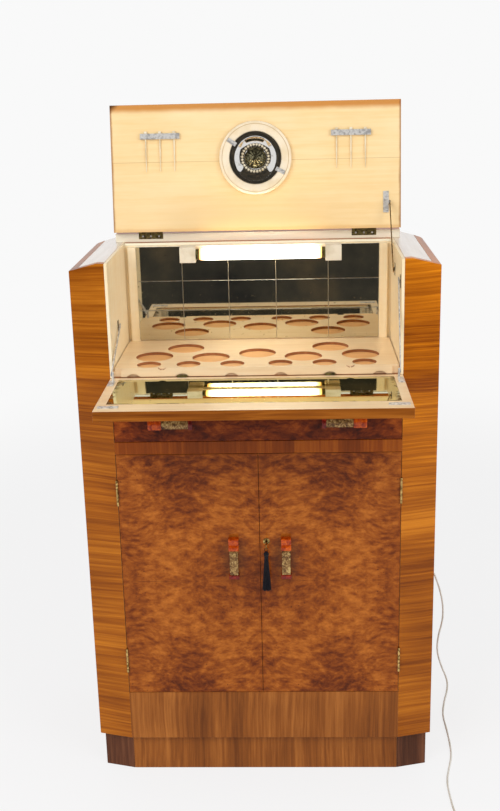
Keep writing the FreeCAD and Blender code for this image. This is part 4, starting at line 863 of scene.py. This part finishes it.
# The drawer front's darker burr is painted shade from the flap above.
for name, burr in (("door_left", "walnut_burr"), ("door_right", "walnut_burr"),
                   ("drawer_front", "walnut_burr_dark")):
    eased(name, DOOR_EASE, burr, "walnut_level", "bare_wood", chosen=burr_front)

# %% [markdown]
# ## Bar, tray, lid and flap
#
# The tray is one pale board with holes for glasses, and the cut wood inside each hole is darker.
# The lid and the flap are pale inside and walnut outside. The flap's front edge runs straight
# grained from side to side, and its outer face is burr like the doors that it closes down to.
# The mirror's tiles show their cut edges as fine silver lines.

# %% Bar boards
TRAY_EASE = 0.4 * MM
GLASS_EASE = 0.3 * MM
LAMP_EASE = 1.2 * MM
NOTCH_HEIGHT = 950 * MM
NOTCH_REACH = 250 * MM
STRIP_DEPTH = 20 * MM
tray_low, tray_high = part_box("glass_tray")
strip_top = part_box("rear_top_boards")[1].z


def hole_walls(centre, normal):
    edge = min(centre.x - tray_low.x, tray_high.x - centre.x, centre.y - tray_low.y, tray_high.y - centre.y)
    return int(abs(normal.z) < 0.5 and edge > 1 * MM)


def notch_walls(centre, normal):
    """The two finger notches in the rail's upper edge are worn dark."""
    upper = centre.z > NOTCH_HEIGHT and abs(centre.x) < NOTCH_REACH
    return int(upper and 0.02 < abs(normal.x) < 0.98)


def lid_sides(centre, normal):
    return int(normal.dot(LID_IN) <= FACING)


def flap_sides(centre, normal):
    if normal.z > FACING:
        return 0
    return 1 if abs(normal.y) > FACING or abs(normal.x) > FACING else 2


def strip_sides(centre, normal):
    """The rear strip is cream in front and walnut on its top, back and ends."""
    return int(normal.y >= -FACING and centre.z >= strip_top - STRIP_DEPTH)


eased("glass_tray", TRAY_EASE, "sycamore_tray", "bare_edge", chosen=hole_walls)
eased("tray_rail", TRAY_EASE, "sycamore_tray", "bare_edge", chosen=notch_walls)
eased("mirror_frame", FINE_EASE, "sycamore_upright")
eased("lid_panel", EASE, "sycamore_lid", "walnut_level", chosen=lid_sides)
eased("flap_panel", EASE, "sycamore_tray", "walnut_edge", "walnut_burr", chosen=flap_sides)
eased("rear_top_boards", FINE_EASE, "cream_strip", "walnut_level", chosen=strip_sides)
eased("mirror_tiles", GLASS_EASE, "silver_bar", "back_mirror_glass", chosen=front_edge)
eased("flap_mirror", GLASS_EASE, "flap_mirror_glass")
eased("lamp_fitting", LAMP_EASE, "white_ceramic")
print("boards dressed")

# %% [markdown]
# ## Hinges, stays and lock
#
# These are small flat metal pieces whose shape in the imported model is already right, down to the
# knuckles. They need only a lightly broken edge and a metal that looks its age.

# %% Metal fittings
BROKEN_EDGE = 0.15 * MM
BAR_LEVEL = 800 * MM


def fixed_leaf_metal(centre, normal):
    """Brass at the doors and dark bronze at the lid and the flap."""
    return int(centre.z >= BAR_LEVEL)


for name, metal in (("door_left_hinge_leaves", "brass"), ("door_right_hinge_leaves", "brass"),
                    ("lid_hinge_leaves", "bronze"), ("flap_hinge_leaves", "bronze"),
                    ("flap_fittings", "silver_bar"), ("lid_stay", "brass"),
                    ("flap_stay_left", "silver_bar"), ("flap_stay_right", "silver_bar"),
                    ("stay_studs", "steel"), ("lock_case", "steel"), ("lock_bolt", "brass"),
                    ("escutcheon", "brass"), ("hinge_pins", "brass")):
    eased(name, BROKEN_EDGE, metal)
eased("fixed_hinge_leaves", BROKEN_EDGE, "brass", "bronze", chosen=fixed_leaf_metal)

# %% [markdown]
# ## Turning round pieces
#
# Rings, dishes, caps and screws are turned on a lathe, and Spin is Blender's lathe. A plane is
# added and merged to one point, which is extruded step by step along half the outline and then
# spun round. A screw modifier would do too, but Spin leaves a plain mesh at once.

# %% Lathe
SQUEEZER_HEIGHT = 156
# The open lid's inner face stands this far in front of the hinges' axis.
LID_FACE = 20.7 * MM


def across_from(axis):
    return axis.orthogonal().normalized()


def finished(item, name):
    """Merges doubles, turns faces outwards, and puts the object at the origin."""
    editing(item)
    bpy.ops.mesh.remove_doubles(threshold=0.005 * MM)
    bpy.ops.mesh.normals_make_consistent(inside=False)
    mode("OBJECT")
    bpy.ops.object.transform_apply(location=True, rotation=True, scale=True)
    item.name = name
    return item


def turned(name, outline, centre, axis, steps, finish_name):
    """Spins an outline of (radius, reach along the axis), in millimetres, about an axis."""
    side = across_from(axis)
    places = [centre + side * (radius * MM) + axis * (reach * MM) for radius, reach in outline]
    bpy.ops.object.select_all(action="DESELECT")
    bpy.ops.mesh.primitive_plane_add(size=MM, location=places[0])
    item = bpy.context.object
    editing(item)
    bpy.ops.mesh.select_mode(type="VERT")
    bpy.ops.mesh.merge(type="CENTER")
    for start, end in zip(places, places[1:]):
        bpy.ops.mesh.extrude_region_move(TRANSFORM_OT_translate={"value": end - start})
    bpy.ops.mesh.select_all(action="SELECT")
    bpy.ops.mesh.spin(steps=steps, angle=math.tau, center=centre, axis=axis)
    mode("OBJECT")
    return dressed(finished(item, name), finish_name)


def repeated(item, shifts):
    """Copies of a piece, each with its own mesh moved by a shift, instead of the piece itself."""
    twins = []
    for number, shift in enumerate(shifts):
        twin = placed(f"{item.name}_{number}", item.data.copy())
        twin.data.transform(Matrix.Translation(shift))
        twins.append(twin)
    bpy.data.objects.remove(item)
    return twins


def on_lid(height, proud=0.0):
    """A place on the open lid's middle line, up from its hinge and out from its inner face, in mm."""
    return LID_AXIS + LID_UP * (height * MM) + LID_IN * (LID_FACE + proud * MM)


squeezer_centre = on_lid(SQUEEZER_HEIGHT)
print("squeezer centre", rounded(squeezer_centre))

# %% [markdown]
# ## Squeezer ring and dish
#
# A turned cream ring holds a chrome dish in the lid. The ring has a rounded outer bead and a fine
# groove, whose line is painted a darker gold-brown. Both are lathe work: the outlines follow the
# imported solids, and their short slanting steps round every arris.

# %% Ring and dish
RING_OUTLINE = ((57, 0), (79, 0), (79, 5.5), (77.6, 9.4), (75.2, 11.4), (73.2, 11.8), (72.6, 11.2),
                (71.8, 11.2), (71.2, 12), (59, 12), (57, 11), (57, 0))
DISH_OUTLINE = ((0, 0), (26, 0), (33, 1.6), (40, 5.0), (45, 9.4), (47, 10.8), (56, 10.8), (56.4, 11.4),
                (56, 12), (46.4, 12), (43.6, 10), (38.6, 6), (32, 2.8), (26, 1.2), (0, 1.2))
GROOVE_RADIUS = 72.2 * MM
RIM = (77.4 * MM, 79 * MM)


def cream_ring():
    paint = Paint("cream_ring", coat_weight=0.8, coat_roughness=0.08)
    x, y, z = paint.axes()
    up = up_lid(y, z, squeezer_centre)
    radius = (x * x + up * up).maths("SQRT")
    groove = paint.fade(abs(radius - GROOVE_RADIUS), 0.9 * MM, 0.3 * MM)
    cloud = paint.noise(40, detail=3)
    colour = paint.mix(paint.fade(cloud, 0.4, 0.7), (250, 234, 206), (240, 220, 184))
    colour = paint.mix(groove * 0.7, colour, (196, 158, 92))
    colour = paint.mix(paint.fade(radius, *RIM) * 0.4, colour, (214, 178, 122))
    finish(paint, colour, 0.2 + cloud * 0.15, cloud, 0.02 * MM)


cream_ring()
ring = turned("ring", RING_OUTLINE, squeezer_centre, LID_IN, 96, "cream_ring")
settled(smoothed(ring), "squeezer_ring")
dish = turned("dish", DISH_OUTLINE, squeezer_centre, LID_IN, 96, "chrome")
settled(smoothed(dish, 50), "squeezer_dish")
print("ring faces", len(ring.data.polygons), "dish faces", len(dish.data.polygons))

# %% [markdown]
# ## Reamer
#
# In the dish stands the reamer, a fluted cone on a flat plate, with a ring of small teeth that
# keep the pips back. The cone is spun with two sides to a flute, every other side's points are
# drawn in towards the axis, and a subdivision surface makes soft flutes of them. One tooth is
# turned and copied round.

# %% Reamer
FLUTES = 14
FLUTE_DRAW = 0.8
FLUTE_REACH = (3 * MM, 19 * MM)
FLUTE_MIDDLE = 6 * MM
CONE_OUTLINE = ((0, 2.2), (25.2, 2.2), (24.4, 4.6), (21.2, 8.8), (16.2, 12.6), (10.8, 16.4), (4.8, 19.2),
                (0, 20))
PLATE_OUTLINE = ((0, 1.2), (25, 1.2), (25, 1.9), (24.4, 2.4), (16, 2.4), (0, 2.4))
TOOTH_OUTLINE = ((0, 1.8), (2.8, 1.8), (2.8, 3.6), (2.2, 5.0), (1.2, 5.8), (0, 6.1))
TEETH = 28
TEETH_RADIUS = 28.6 * MM


def drawn(item, test, factors, centre):
    """Scales only the points that pass a test, about a centre."""
    picked(item, "VERT", test)
    bpy.ops.transform.resize(value=factors, center_override=centre)
    mode("OBJECT")
    return item


def fluted_cone():
    item = turned("cone", CONE_OUTLINE, squeezer_centre, LID_IN, FLUTES * 2, "dull_plate")
    side = across_from(LID_IN)
    other = LID_IN.cross(side)

    def in_flute(vertex):
        arm = vertex.co - squeezer_centre
        number = round(math.atan2(arm.dot(other), arm.dot(side)) / math.tau * FLUTES * 2)
        return number % 2 == 1 and FLUTE_REACH[0] < arm.dot(LID_IN) < FLUTE_REACH[1]

    drawn(item, in_flute, (FLUTE_DRAW,) * 3, squeezer_centre + LID_IN * FLUTE_MIDDLE)
    return modified(item, "SUBSURF", levels=2, render_levels=2)


cone = fluted_cone()
plate = turned("plate", PLATE_OUTLINE, squeezer_centre, LID_IN, 64, "chrome")
tooth = turned("tooth", TOOTH_OUTLINE, squeezer_centre, LID_IN, 10, "ivory")
first_spoke = across_from(LID_IN) * TEETH_RADIUS
teeth = repeated(tooth, [Matrix.Rotation(math.tau * number / TEETH, 3, LID_IN) @ first_spoke
                         for number in range(TEETH)])
reamer = joined("reamer", [cone, plate, *teeth])
settled(smoothed(reamer, 50), "squeezer_reamer")
print("reamer faces", len(reamer.data.polygons))

# %% [markdown]
# ## Clips, bracket and stick holders
#
# Two plated turn clips hold the dish, and two plated bars carry three cocktail sticks each. The
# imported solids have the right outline, so eased copies in a worn, dull plating serve.

# %% Lid fittings
eased("lid_fittings", 0.25 * MM, "silver_bar")
for name in ("clip_upper", "clip_lower"):
    eased(name, 0.3 * MM, "silver_bar")

# %% [markdown]
# ## Hinge screws
#
# Three bright screw heads show on each lid hinge's dark leaf, and two on each plate of the flap.
# Each head gets a slot, cut by pushing a narrow band of faces inwards. One head is modelled at
# its first place and copied to the others.

# %% Screws
SCREW_OUTLINE = ((0, 0), (2.1, 0), (2.1, 0.15), (1.5, 0.4), (0, 0.5))
SLOT_WIDTH = 0.5 * MM
SLOT_DEPTH = 0.25 * MM
LEAF_SCREW_SPACING = 18
LEAF_PLACE = Vector((0, 82.75, 1186.2)) * MM
LID_HINGE_X = 236
BRACKET_PLACE = Vector((0, 0, 939)) * MM
BRACKET_X = 293
BRACKET_SCREWS_Y = (-227, -251)


def two_threes(middle, spacing):
    """Shifts to three places in a row on the left and three on the right, in mm."""
    return [RIGHT * ((middle * side + spacing * step) * MM) for side in (-1, 1) for step in (-1, 0, 1)]


def sliced(item, normal, places):
    """Cuts an object's faces along parallel planes and keeps it whole."""
    for place in places:
        editing(item)
        bpy.ops.mesh.bisect(plane_co=place, plane_no=normal)
        mode("OBJECT")


def screw_head(name, centre, axis):
    """A low screw head with a slot across it."""
    item = turned(name, SCREW_OUTLINE, centre, axis, 20, "silver_bar")
    side = across_from(axis)
    sliced(item, side, [centre - side * (SLOT_WIDTH / 2), centre + side * (SLOT_WIDTH / 2)])

    def in_slot(face):
        return abs((face.center - centre).dot(side)) < SLOT_WIDTH / 2 and face.normal.dot(axis) > 0.5

    picked(item, "FACE", in_slot)
    bpy.ops.mesh.extrude_region_move(TRANSFORM_OT_translate={"value": axis * -SLOT_DEPTH})
    bpy.ops.mesh.select_mode(type="VERT")
    mode("OBJECT")
    return item


head = screw_head("leaf_screw", LEAF_PLACE, -BACK)
leaf_screws = repeated(head, two_threes(LID_HINGE_X, LEAF_SCREW_SPACING))
leaf_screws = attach(joined("lid_hinge_screws", leaf_screws), "case")

head = screw_head("plate_screw", BRACKET_PLACE, UP)
plate_screws = repeated(head, [Vector((BRACKET_X * side, y, 0)) * MM
                               for side in (-1, 1) for y in BRACKET_SCREWS_Y])
plate_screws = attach(joined("flap_plate_screws", plate_screws), "flap")
print("screws", len(leaf_screws.data.polygons) + len(plate_screws.data.polygons), "faces")

# %% [markdown]
# ## Cocktail sticks
#
# Each stick is a thin turned spike that hangs by a square cream head. The spike is lathe work
# with a bead under the head, and the head is a small block with rounded corners. One stick is
# made and copied to its six places.

# %% Sticks
HOLDER_TOP = 212
HOLDER_MIDDLE = 207
HOLDER_REACH = 3.5
STICK_SPACING = 31
STICK_HEAD = Vector((6.4, 6.4, 4.6)) * MM
HEAD_RISE = 2.4
SPIKE_OUTLINE = ((0, -82), (0.6, -80.5), (1.1, -60), (1.45, -34), (1.55, -18), (1.55, -1), (1.3, 0.2),
                 (0, 0.2))


def cube(name, centre, size, turn=(0, 0, 0)):
    """A cube at its size and place, ready to be worked on."""
    bpy.ops.object.select_all(action="DESELECT")
    bpy.ops.mesh.primitive_cube_add(size=1, location=centre, rotation=turn)
    item = bpy.context.object
    item.scale = size
    bpy.ops.object.transform_apply(location=True, rotation=True, scale=True)
    item.name = name
    return item


def block(name, centre, size, width, finish_name, turn=(0, 0, 0)):
    """A cube with its edges rounded over and its finish on."""
    return dressed(bevelled(cube(name, centre, size, turn), width, 3), finish_name)


stick_head = block("head", on_lid(HOLDER_TOP + HEAD_RISE, HOLDER_REACH), STICK_HEAD, 0.8 * MM, "ivory",
                   (-LID_LEAN, 0, 0))
spike = turned("spike", SPIKE_OUTLINE, on_lid(HOLDER_TOP, HOLDER_REACH), LID_UP, 16, "ivory")
sticks = repeated(joined("stick", [stick_head, spike]), two_threes(HOLDER_MIDDLE, STICK_SPACING))
for name, three in (("sticks_left", sticks[:3]), ("sticks_right", sticks[3:])):
    assembled(name, three)
print("sticks", len(sticks))

# %% [markdown]
# ## Strip lamp
#
# The lit glass has rounded shoulders that go into two dark metal caps. Tube and caps are turned
# about the lamp's own axis from one outline each.

# %% Lamp
CAP_OUTLINE = ((0, 0), (11.2, 0), (12, 0.8), (12, 2.4), (11.4, 3), (12, 3.6), (12, 7.2), (11.2, 8), (0, 8))
lamp_start = Vector((tube_low.x, (tube_low.y + tube_high.y) / 2, (tube_low.z + tube_high.z) / 2))
lamp_end = lamp_start + RIGHT * (tube_high.x - tube_low.x)
glass_end = LAMP_HALF * 2 / MM
glass_outline = ((0, 0), (11.4, 0), (12.5, 1), (13, 3), (13, glass_end / 2), (13, glass_end - 3),
                 (12.5, glass_end - 1), (11.4, glass_end), (0, glass_end))
glass = turned("glass", glass_outline, lamp_start + RIGHT * LAMP_CAP, RIGHT, 48, "lit_glass")
cap_left = turned("cap_left", CAP_OUTLINE, lamp_start, RIGHT, 48, "bronze")
cap_right = turned("cap_right", CAP_OUTLINE, lamp_end, -RIGHT, 48, "bronze")
assembled("lamp_tube", [glass, cap_left, cap_right])

# %% [markdown]
# ## Handles
#
# Each handle is a marbled orange resin block, a mottled strap and a dark red foot. The orange
# block has a shallow groove round its middle: three bisects mark its middle line and two edges,
# and the middle line's points are drawn in. One function serves both doors and the drawer by
# swapping its run and side.

# %% Handles
FRONT = -195 * MM
HANDLE_FRONT = FRONT - 16 * MM
STRAP_FRONT = HANDLE_FRONT + 1.5 * MM
STRAP_BACK = STRAP_FRONT + 3 * MM
HANDLE_HALF = 46.5 * MM
ORANGE_START = 18.5 * MM
RED_END = -37.5 * MM
BLOCK_HALF = 11 * MM
STRAP_HALF = 9 * MM
GROOVE_WIDTH = 1.6 * MM
GROOVE_DRAW = 0.93
DRAWER_HANDLE = Vector((180, 0, 838.5)) * MM


def extremes(points):
    """The least and the greatest corner of some points."""
    return [Vector([pick(point[axis] for point in points) for axis in range(3)]) for pick in (min, max)]


def grooved(item, run):
    """Draws a narrow band in the middle of a block inwards."""
    low, high = extremes([vertex.co for vertex in item.data.vertices])
    centre = (low + high) / 2
    sliced(item, run, [centre + run * offset for offset in (-GROOVE_WIDTH / 2, GROOVE_WIDTH / 2, 0)])
    return drawn(item, lambda vertex: abs((vertex.co - centre).dot(run)) < GROOVE_WIDTH * 0.1,
                 (GROOVE_DRAW,) * 3, centre)


def handle(name, middle, run, across):
    """The parts of one handle. Run points from the red foot to the orange block."""
    def part(label, start, end, half, front, back, width, finish_name):
        low, high = extremes((middle + run * start - across * half, middle + run * end + across * half))
        low.y, high.y = front, back
        return block(f"{name}_{label}", (low + high) / 2, high - low, width, finish_name)

    orange = part("orange", ORANGE_START, HANDLE_HALF, BLOCK_HALF, HANDLE_FRONT, FRONT, 1.8 * MM,
                  "orange_resin")
    red = part("red", -HANDLE_HALF, RED_END, BLOCK_HALF, HANDLE_FRONT, FRONT, 1.4 * MM, "red_resin")
    strap = part("strap", RED_END, ORANGE_START, STRAP_HALF, STRAP_FRONT, STRAP_BACK, 0.6 * MM,
                 "mottled_strap")
    return [grooved(orange, run), red, strap]


for side, name in ((-1, "door_left_handle"), (1, "door_right_handle")):
    assembled(name, handle(name, DOOR_HANDLE * Vector((side, 1, 1)), UP, RIGHT))
assembled("drawer_handles", [
    part for side in (-1, 1)
    for part in handle(f"drawer_{side}", DRAWER_HANDLE * Vector((side, 1, 1)), RIGHT * side, UP)])
print("handles made")

# %% [markdown]
# ## Key and tassel
#
# The key's brass bow carries a black silk tassel: a loop, a bound head and a skirt of threads
# that flare as they fall. The threads are thin curves of their own, made meshes and joined, with
# a small seeded wander so that no two hang alike.

# %% Key and tassel
eased("key", 0.2 * MM, "brass")
TASSEL_HEAD = ((0, -7.2), (3.6, -7.0), (4.5, -6.2), (4.6, -5.4), (4.2, -4.8), (4.9, -3.4), (5.7, -1.2),
               (5.7, 1.2), (4.9, 3.6), (3.2, 5.2), (1.2, 6), (0, 6))
TASSEL_PLACE = Vector((14, -224.5, 553.6)) * MM
LOOP_RISE = 10 * MM
LOOP_RADIUS = 4 * MM
LOOP_POINTS = 12
THREAD_TOP = 552.6 * MM
SKIRT_FOOT = 470.5 * MM
SKIRT_RADIUS = 10 * MM
SKIRT_FLARE = ((0, 0.34), (0.12, 0.42), (0.4, 0.6), (0.75, 0.85), (1, 1))
THREADS = 54
GOLDEN_SHARE = 0.381966
wander = random.Random(7)


def as_mesh(curve_object):
    only(curve_object)
    bpy.ops.object.convert(target="MESH")
    return dressed(finished(curve_object, curve_object.name), "black_thread")


def tassel_thread(number):
    """One thread from the head to the foot, a golden share of a turn on from the one before."""
    angle = math.tau * number * GOLDEN_SHARE
    foot_radius = SKIRT_RADIUS * math.sqrt((number + 0.5) / THREADS) * wander.uniform(0.9, 1.0)
    points = []
    for share, spread in SKIRT_FLARE:
        turn = angle + wander.uniform(-0.12, 0.12)
        radius = foot_radius * spread
        lift = wander.uniform(0, 2.5) * MM if share == 1 else 0
        points.append(Vector((TASSEL_PLACE.x + radius * math.cos(turn),
                              TASSEL_PLACE.y + radius * math.sin(turn),
                              THREAD_TOP - (THREAD_TOP - SKIRT_FOOT) * share + lift)))
    return as_mesh(nurbs_line(f"thread_{number}", points, 0.75 * MM, 1))


def loop_point(step):
    angle = math.tau * step / LOOP_POINTS
    around = Vector((math.cos(angle), 0, math.sin(angle))) * LOOP_RADIUS
    return TASSEL_PLACE + around + UP * LOOP_RISE


head = turned("tassel_head", TASSEL_HEAD, TASSEL_PLACE, UP, 32, "black_thread")
loop_points = [loop_point(step) for step in range(LOOP_POINTS)]
loop = as_mesh(nurbs_line("tassel_loop", loop_points, 0.7 * MM, 2, cyclic=True))
threads = [tassel_thread(number) for number in range(THREADS)]
tassel = assembled("key_tassel", [head, loop, *threads], 50)
print("tassel faces", len(tassel.data.polygons))

# %% [markdown]
# ## Gland and plug
#
# The cord leaves the back panel through a gland whose tapered sleeve keeps it from kinking, and
# ends in a moulded two-pin plug. The sleeve is lathe work with ribs, and the plug is a block
# whose rear is drawn in and whose sides get finger ribs.

# %% Gland and plug
gland_place = Vector((route[0].x, 0, route[0].z))
SLEEVE_START = 193
SLEEVE_STEP = 4.2
SLEEVE_RIBS = 6
PLUG_SIZE = Vector((44 * MM, 34 * MM, PLUG_HEIGHT))
PLUG_CUTS = (0.22, 0.42, 0.5, 0.58, 0.66, 0.74)
PLUG_RIBS = (0.5, 0.66)
PIN_SIZE = Vector((19.9, 6, 4)) * MM
PIN_X = 52 * MM
PIN_SIDE = 11 * MM

gland_outline = [(2.3, 184), (7.9, 184), (7.9, 191), (11, 191), (11, 192.3), (10.2, 193), (6.7, 193)]
for rib in range(SLEEVE_RIBS):
    start = SLEEVE_START + SLEEVE_STEP * rib
    taper = 6.6 - 0.34 * rib
    gland_outline += [(taper, start + 1.8), (taper - 0.9, start + 2.6), (taper - 0.9, start + 3.8),
                      (taper - 0.2, start + SLEEVE_STEP)]
gland_outline += [(4.2, 219), (2.3, 219), (2.3, 184)]
gland = turned("cord_gland_made", gland_outline, gland_place, BACK, 32, "cord_plastic")
settled(smoothed(gland), "cord_gland")


def plug_body():
    """A block along x whose rear is drawn in and whose sides are ribbed."""
    middle = (PLUG_SIZE.x / 2, 0, 0)
    item = cube("plug_body", middle, PLUG_SIZE)
    sliced(item, RIGHT, [RIGHT * (PLUG_SIZE.x * share) for share in PLUG_CUTS])
    drawn(item, lambda vertex: vertex.co.x < PLUG_SIZE.x * 0.1, (1, 0.42, 0.62), (0, 0, 0))

    def on_rib(vertex):
        return min(abs(vertex.co.x / PLUG_SIZE.x - rib) for rib in PLUG_RIBS) < 0.02

    drawn(item, on_rib, (1, 0.93, 0.93), middle)
    return dressed(bevelled(item, 1.8 * MM, 3, 40), "ivory")


pins = [block(f"pin_{side}", Vector((PIN_X, PIN_SIDE * side, 0)), PIN_SIZE, 1.4 * MM, "brass")
        for side in (-1, 1)]
plug = assembled("plug", [plug_body(), *pins])
plug_turn = Matrix.Rotation(math.atan2(cord_way.y, cord_way.x), 4, "Z")
plug.data.transform(Matrix.Translation(plug_place) @ plug_turn)

dressed(cord, "cord_plastic")
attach(cord, "case")
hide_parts("power_cord", "cord_coil")

# %% [markdown]
# ## Floor and light
#
# The cabinet stands in a white studio with soft light from all round. The backdrop's white comes
# from Is Camera Ray, so it doesn't light the wood twice, and the floor keeps the shadow under the
# plinth. Two dark cards, behind the camera and overhead, are seen by glossy rays only. They are
# the unlit room that the back mirror and the squeezer's dish show.

# %% Floor and light
FLOOR_SIZE = 14
BACKGROUND = (249, 249, 249)
SKY_STRENGTH = 0.6
FLOOR_WHITE = 0.82
FLOOR_FADE = (0.9, 2.4)
AIM = Vector((0, 0, 0.7))
SOFT_BOX_SIDE = 1.8


def seen_share(paint):
    """1 for the rays that see the backdrop's white and 0 for those that gather light."""
    seen = paint.node("ShaderNodeLightPath", output="Is Camera Ray")
    for ray in ("Is Glossy Ray", "Is Transmission Ray"):
        seen = seen.maths("MAXIMUM", paint.node("ShaderNodeLightPath", output=ray))
    return seen


def floor_paint():
    """White to the camera and in reflections, more so with distance, and shadowed near by."""
    paint = Paint("floor_paint")
    x, y, z = paint.axes()
    far = paint.fade((x * x + y * y).maths("SQRT"), *FLOOR_FADE)
    white = paint.node("ShaderNodeEmission", {"Color": BACKGROUND, "Strength": 1.0})
    share = seen_share(paint) * (far * (1 - FLOOR_WHITE) + FLOOR_WHITE)
    lit = Wire(paint, paint.shader.outputs[0])
    both = paint.node("ShaderNodeMixShader", {0: share, 1: lit, 2: white})
    paint.feed(paint.tree.nodes["Material Output"].inputs["Surface"], both)
    cloud = paint.noise(0.6, detail=2)
    finish(paint, paint.mix(cloud * 0.15, (246, 244, 246), (236, 234, 236)), 0.6)


def world_light():
    """White to the camera and in reflections, and softer as a lamp."""
    world = bpy.data.worlds.new("studio")
    bpy.context.scene.world = world
    world.use_nodes = True
    world.node_tree.nodes.remove(world.node_tree.nodes["Background"])
    sky = Nodes(world.node_tree)
    lamp = sky.node("ShaderNodeBackground", {"Color": BACKGROUND, "Strength": SKY_STRENGTH})
    plain = sky.node("ShaderNodeBackground", {"Color": BACKGROUND, "Strength": 1.0})
    both = sky.node("ShaderNodeMixShader", {0: seen_share(sky), 1: lamp, 2: plain})
    sky.feed(sky.tree.nodes["World Output"].inputs["Surface"], both)


def soft_box(name, place, watts):
    """A square studio lamp that looks at the cabinet."""
    lamp = bpy.data.lights.new(name, "AREA")
    lamp.shape = "SQUARE"
    lamp.size = SOFT_BOX_SIDE
    lamp.energy = watts
    item = placed(name, lamp)
    item.location = place
    item.visible_glossy = False
    item.rotation_euler = (AIM - item.location).to_track_quat("-Z", "Y").to_euler()


def dark_card(name, place, size):
    """A dark board that only polish and metal can see."""
    card = block(name, place, size, 5 * MM, "card_paint")
    card.visible_camera = False
    card.visible_diffuse = False
    card.visible_shadow = False
    card.visible_transmission = False


floor_paint()
bpy.ops.object.select_all(action="DESELECT")
bpy.ops.mesh.primitive_plane_add(size=FLOOR_SIZE, location=(0, 1, 0))
floor = dressed(bpy.context.object, "floor_paint")
floor.name = "floor"
world_light()
soft_box("key_light", (-1.6, -2.4, 2.6), 43)
soft_box("fill_light", (2.2, -2.2, 1.9), 31)

card_paint = Paint("card_paint")
card_tone = card_paint.ramp(card_paint.noise(2.2, detail=5, roughness=0.65), (0.35, (24, 22, 20)),
                            (0.5, (56, 52, 42)), (0.68, (96, 80, 56)))
finish(card_paint, card_tone, 0.8)
dark_card("room_card", Vector((0, -2.72, 1.6)), Vector((6.4, 0.02, 3.1)))
dark_card("ceiling_card", Vector((0, -1.0, 3.1)), Vector((3.2, 3.2, 0.02)))

# %% Finish
bpy.context.scene.view_settings.view_transform = "Standard"
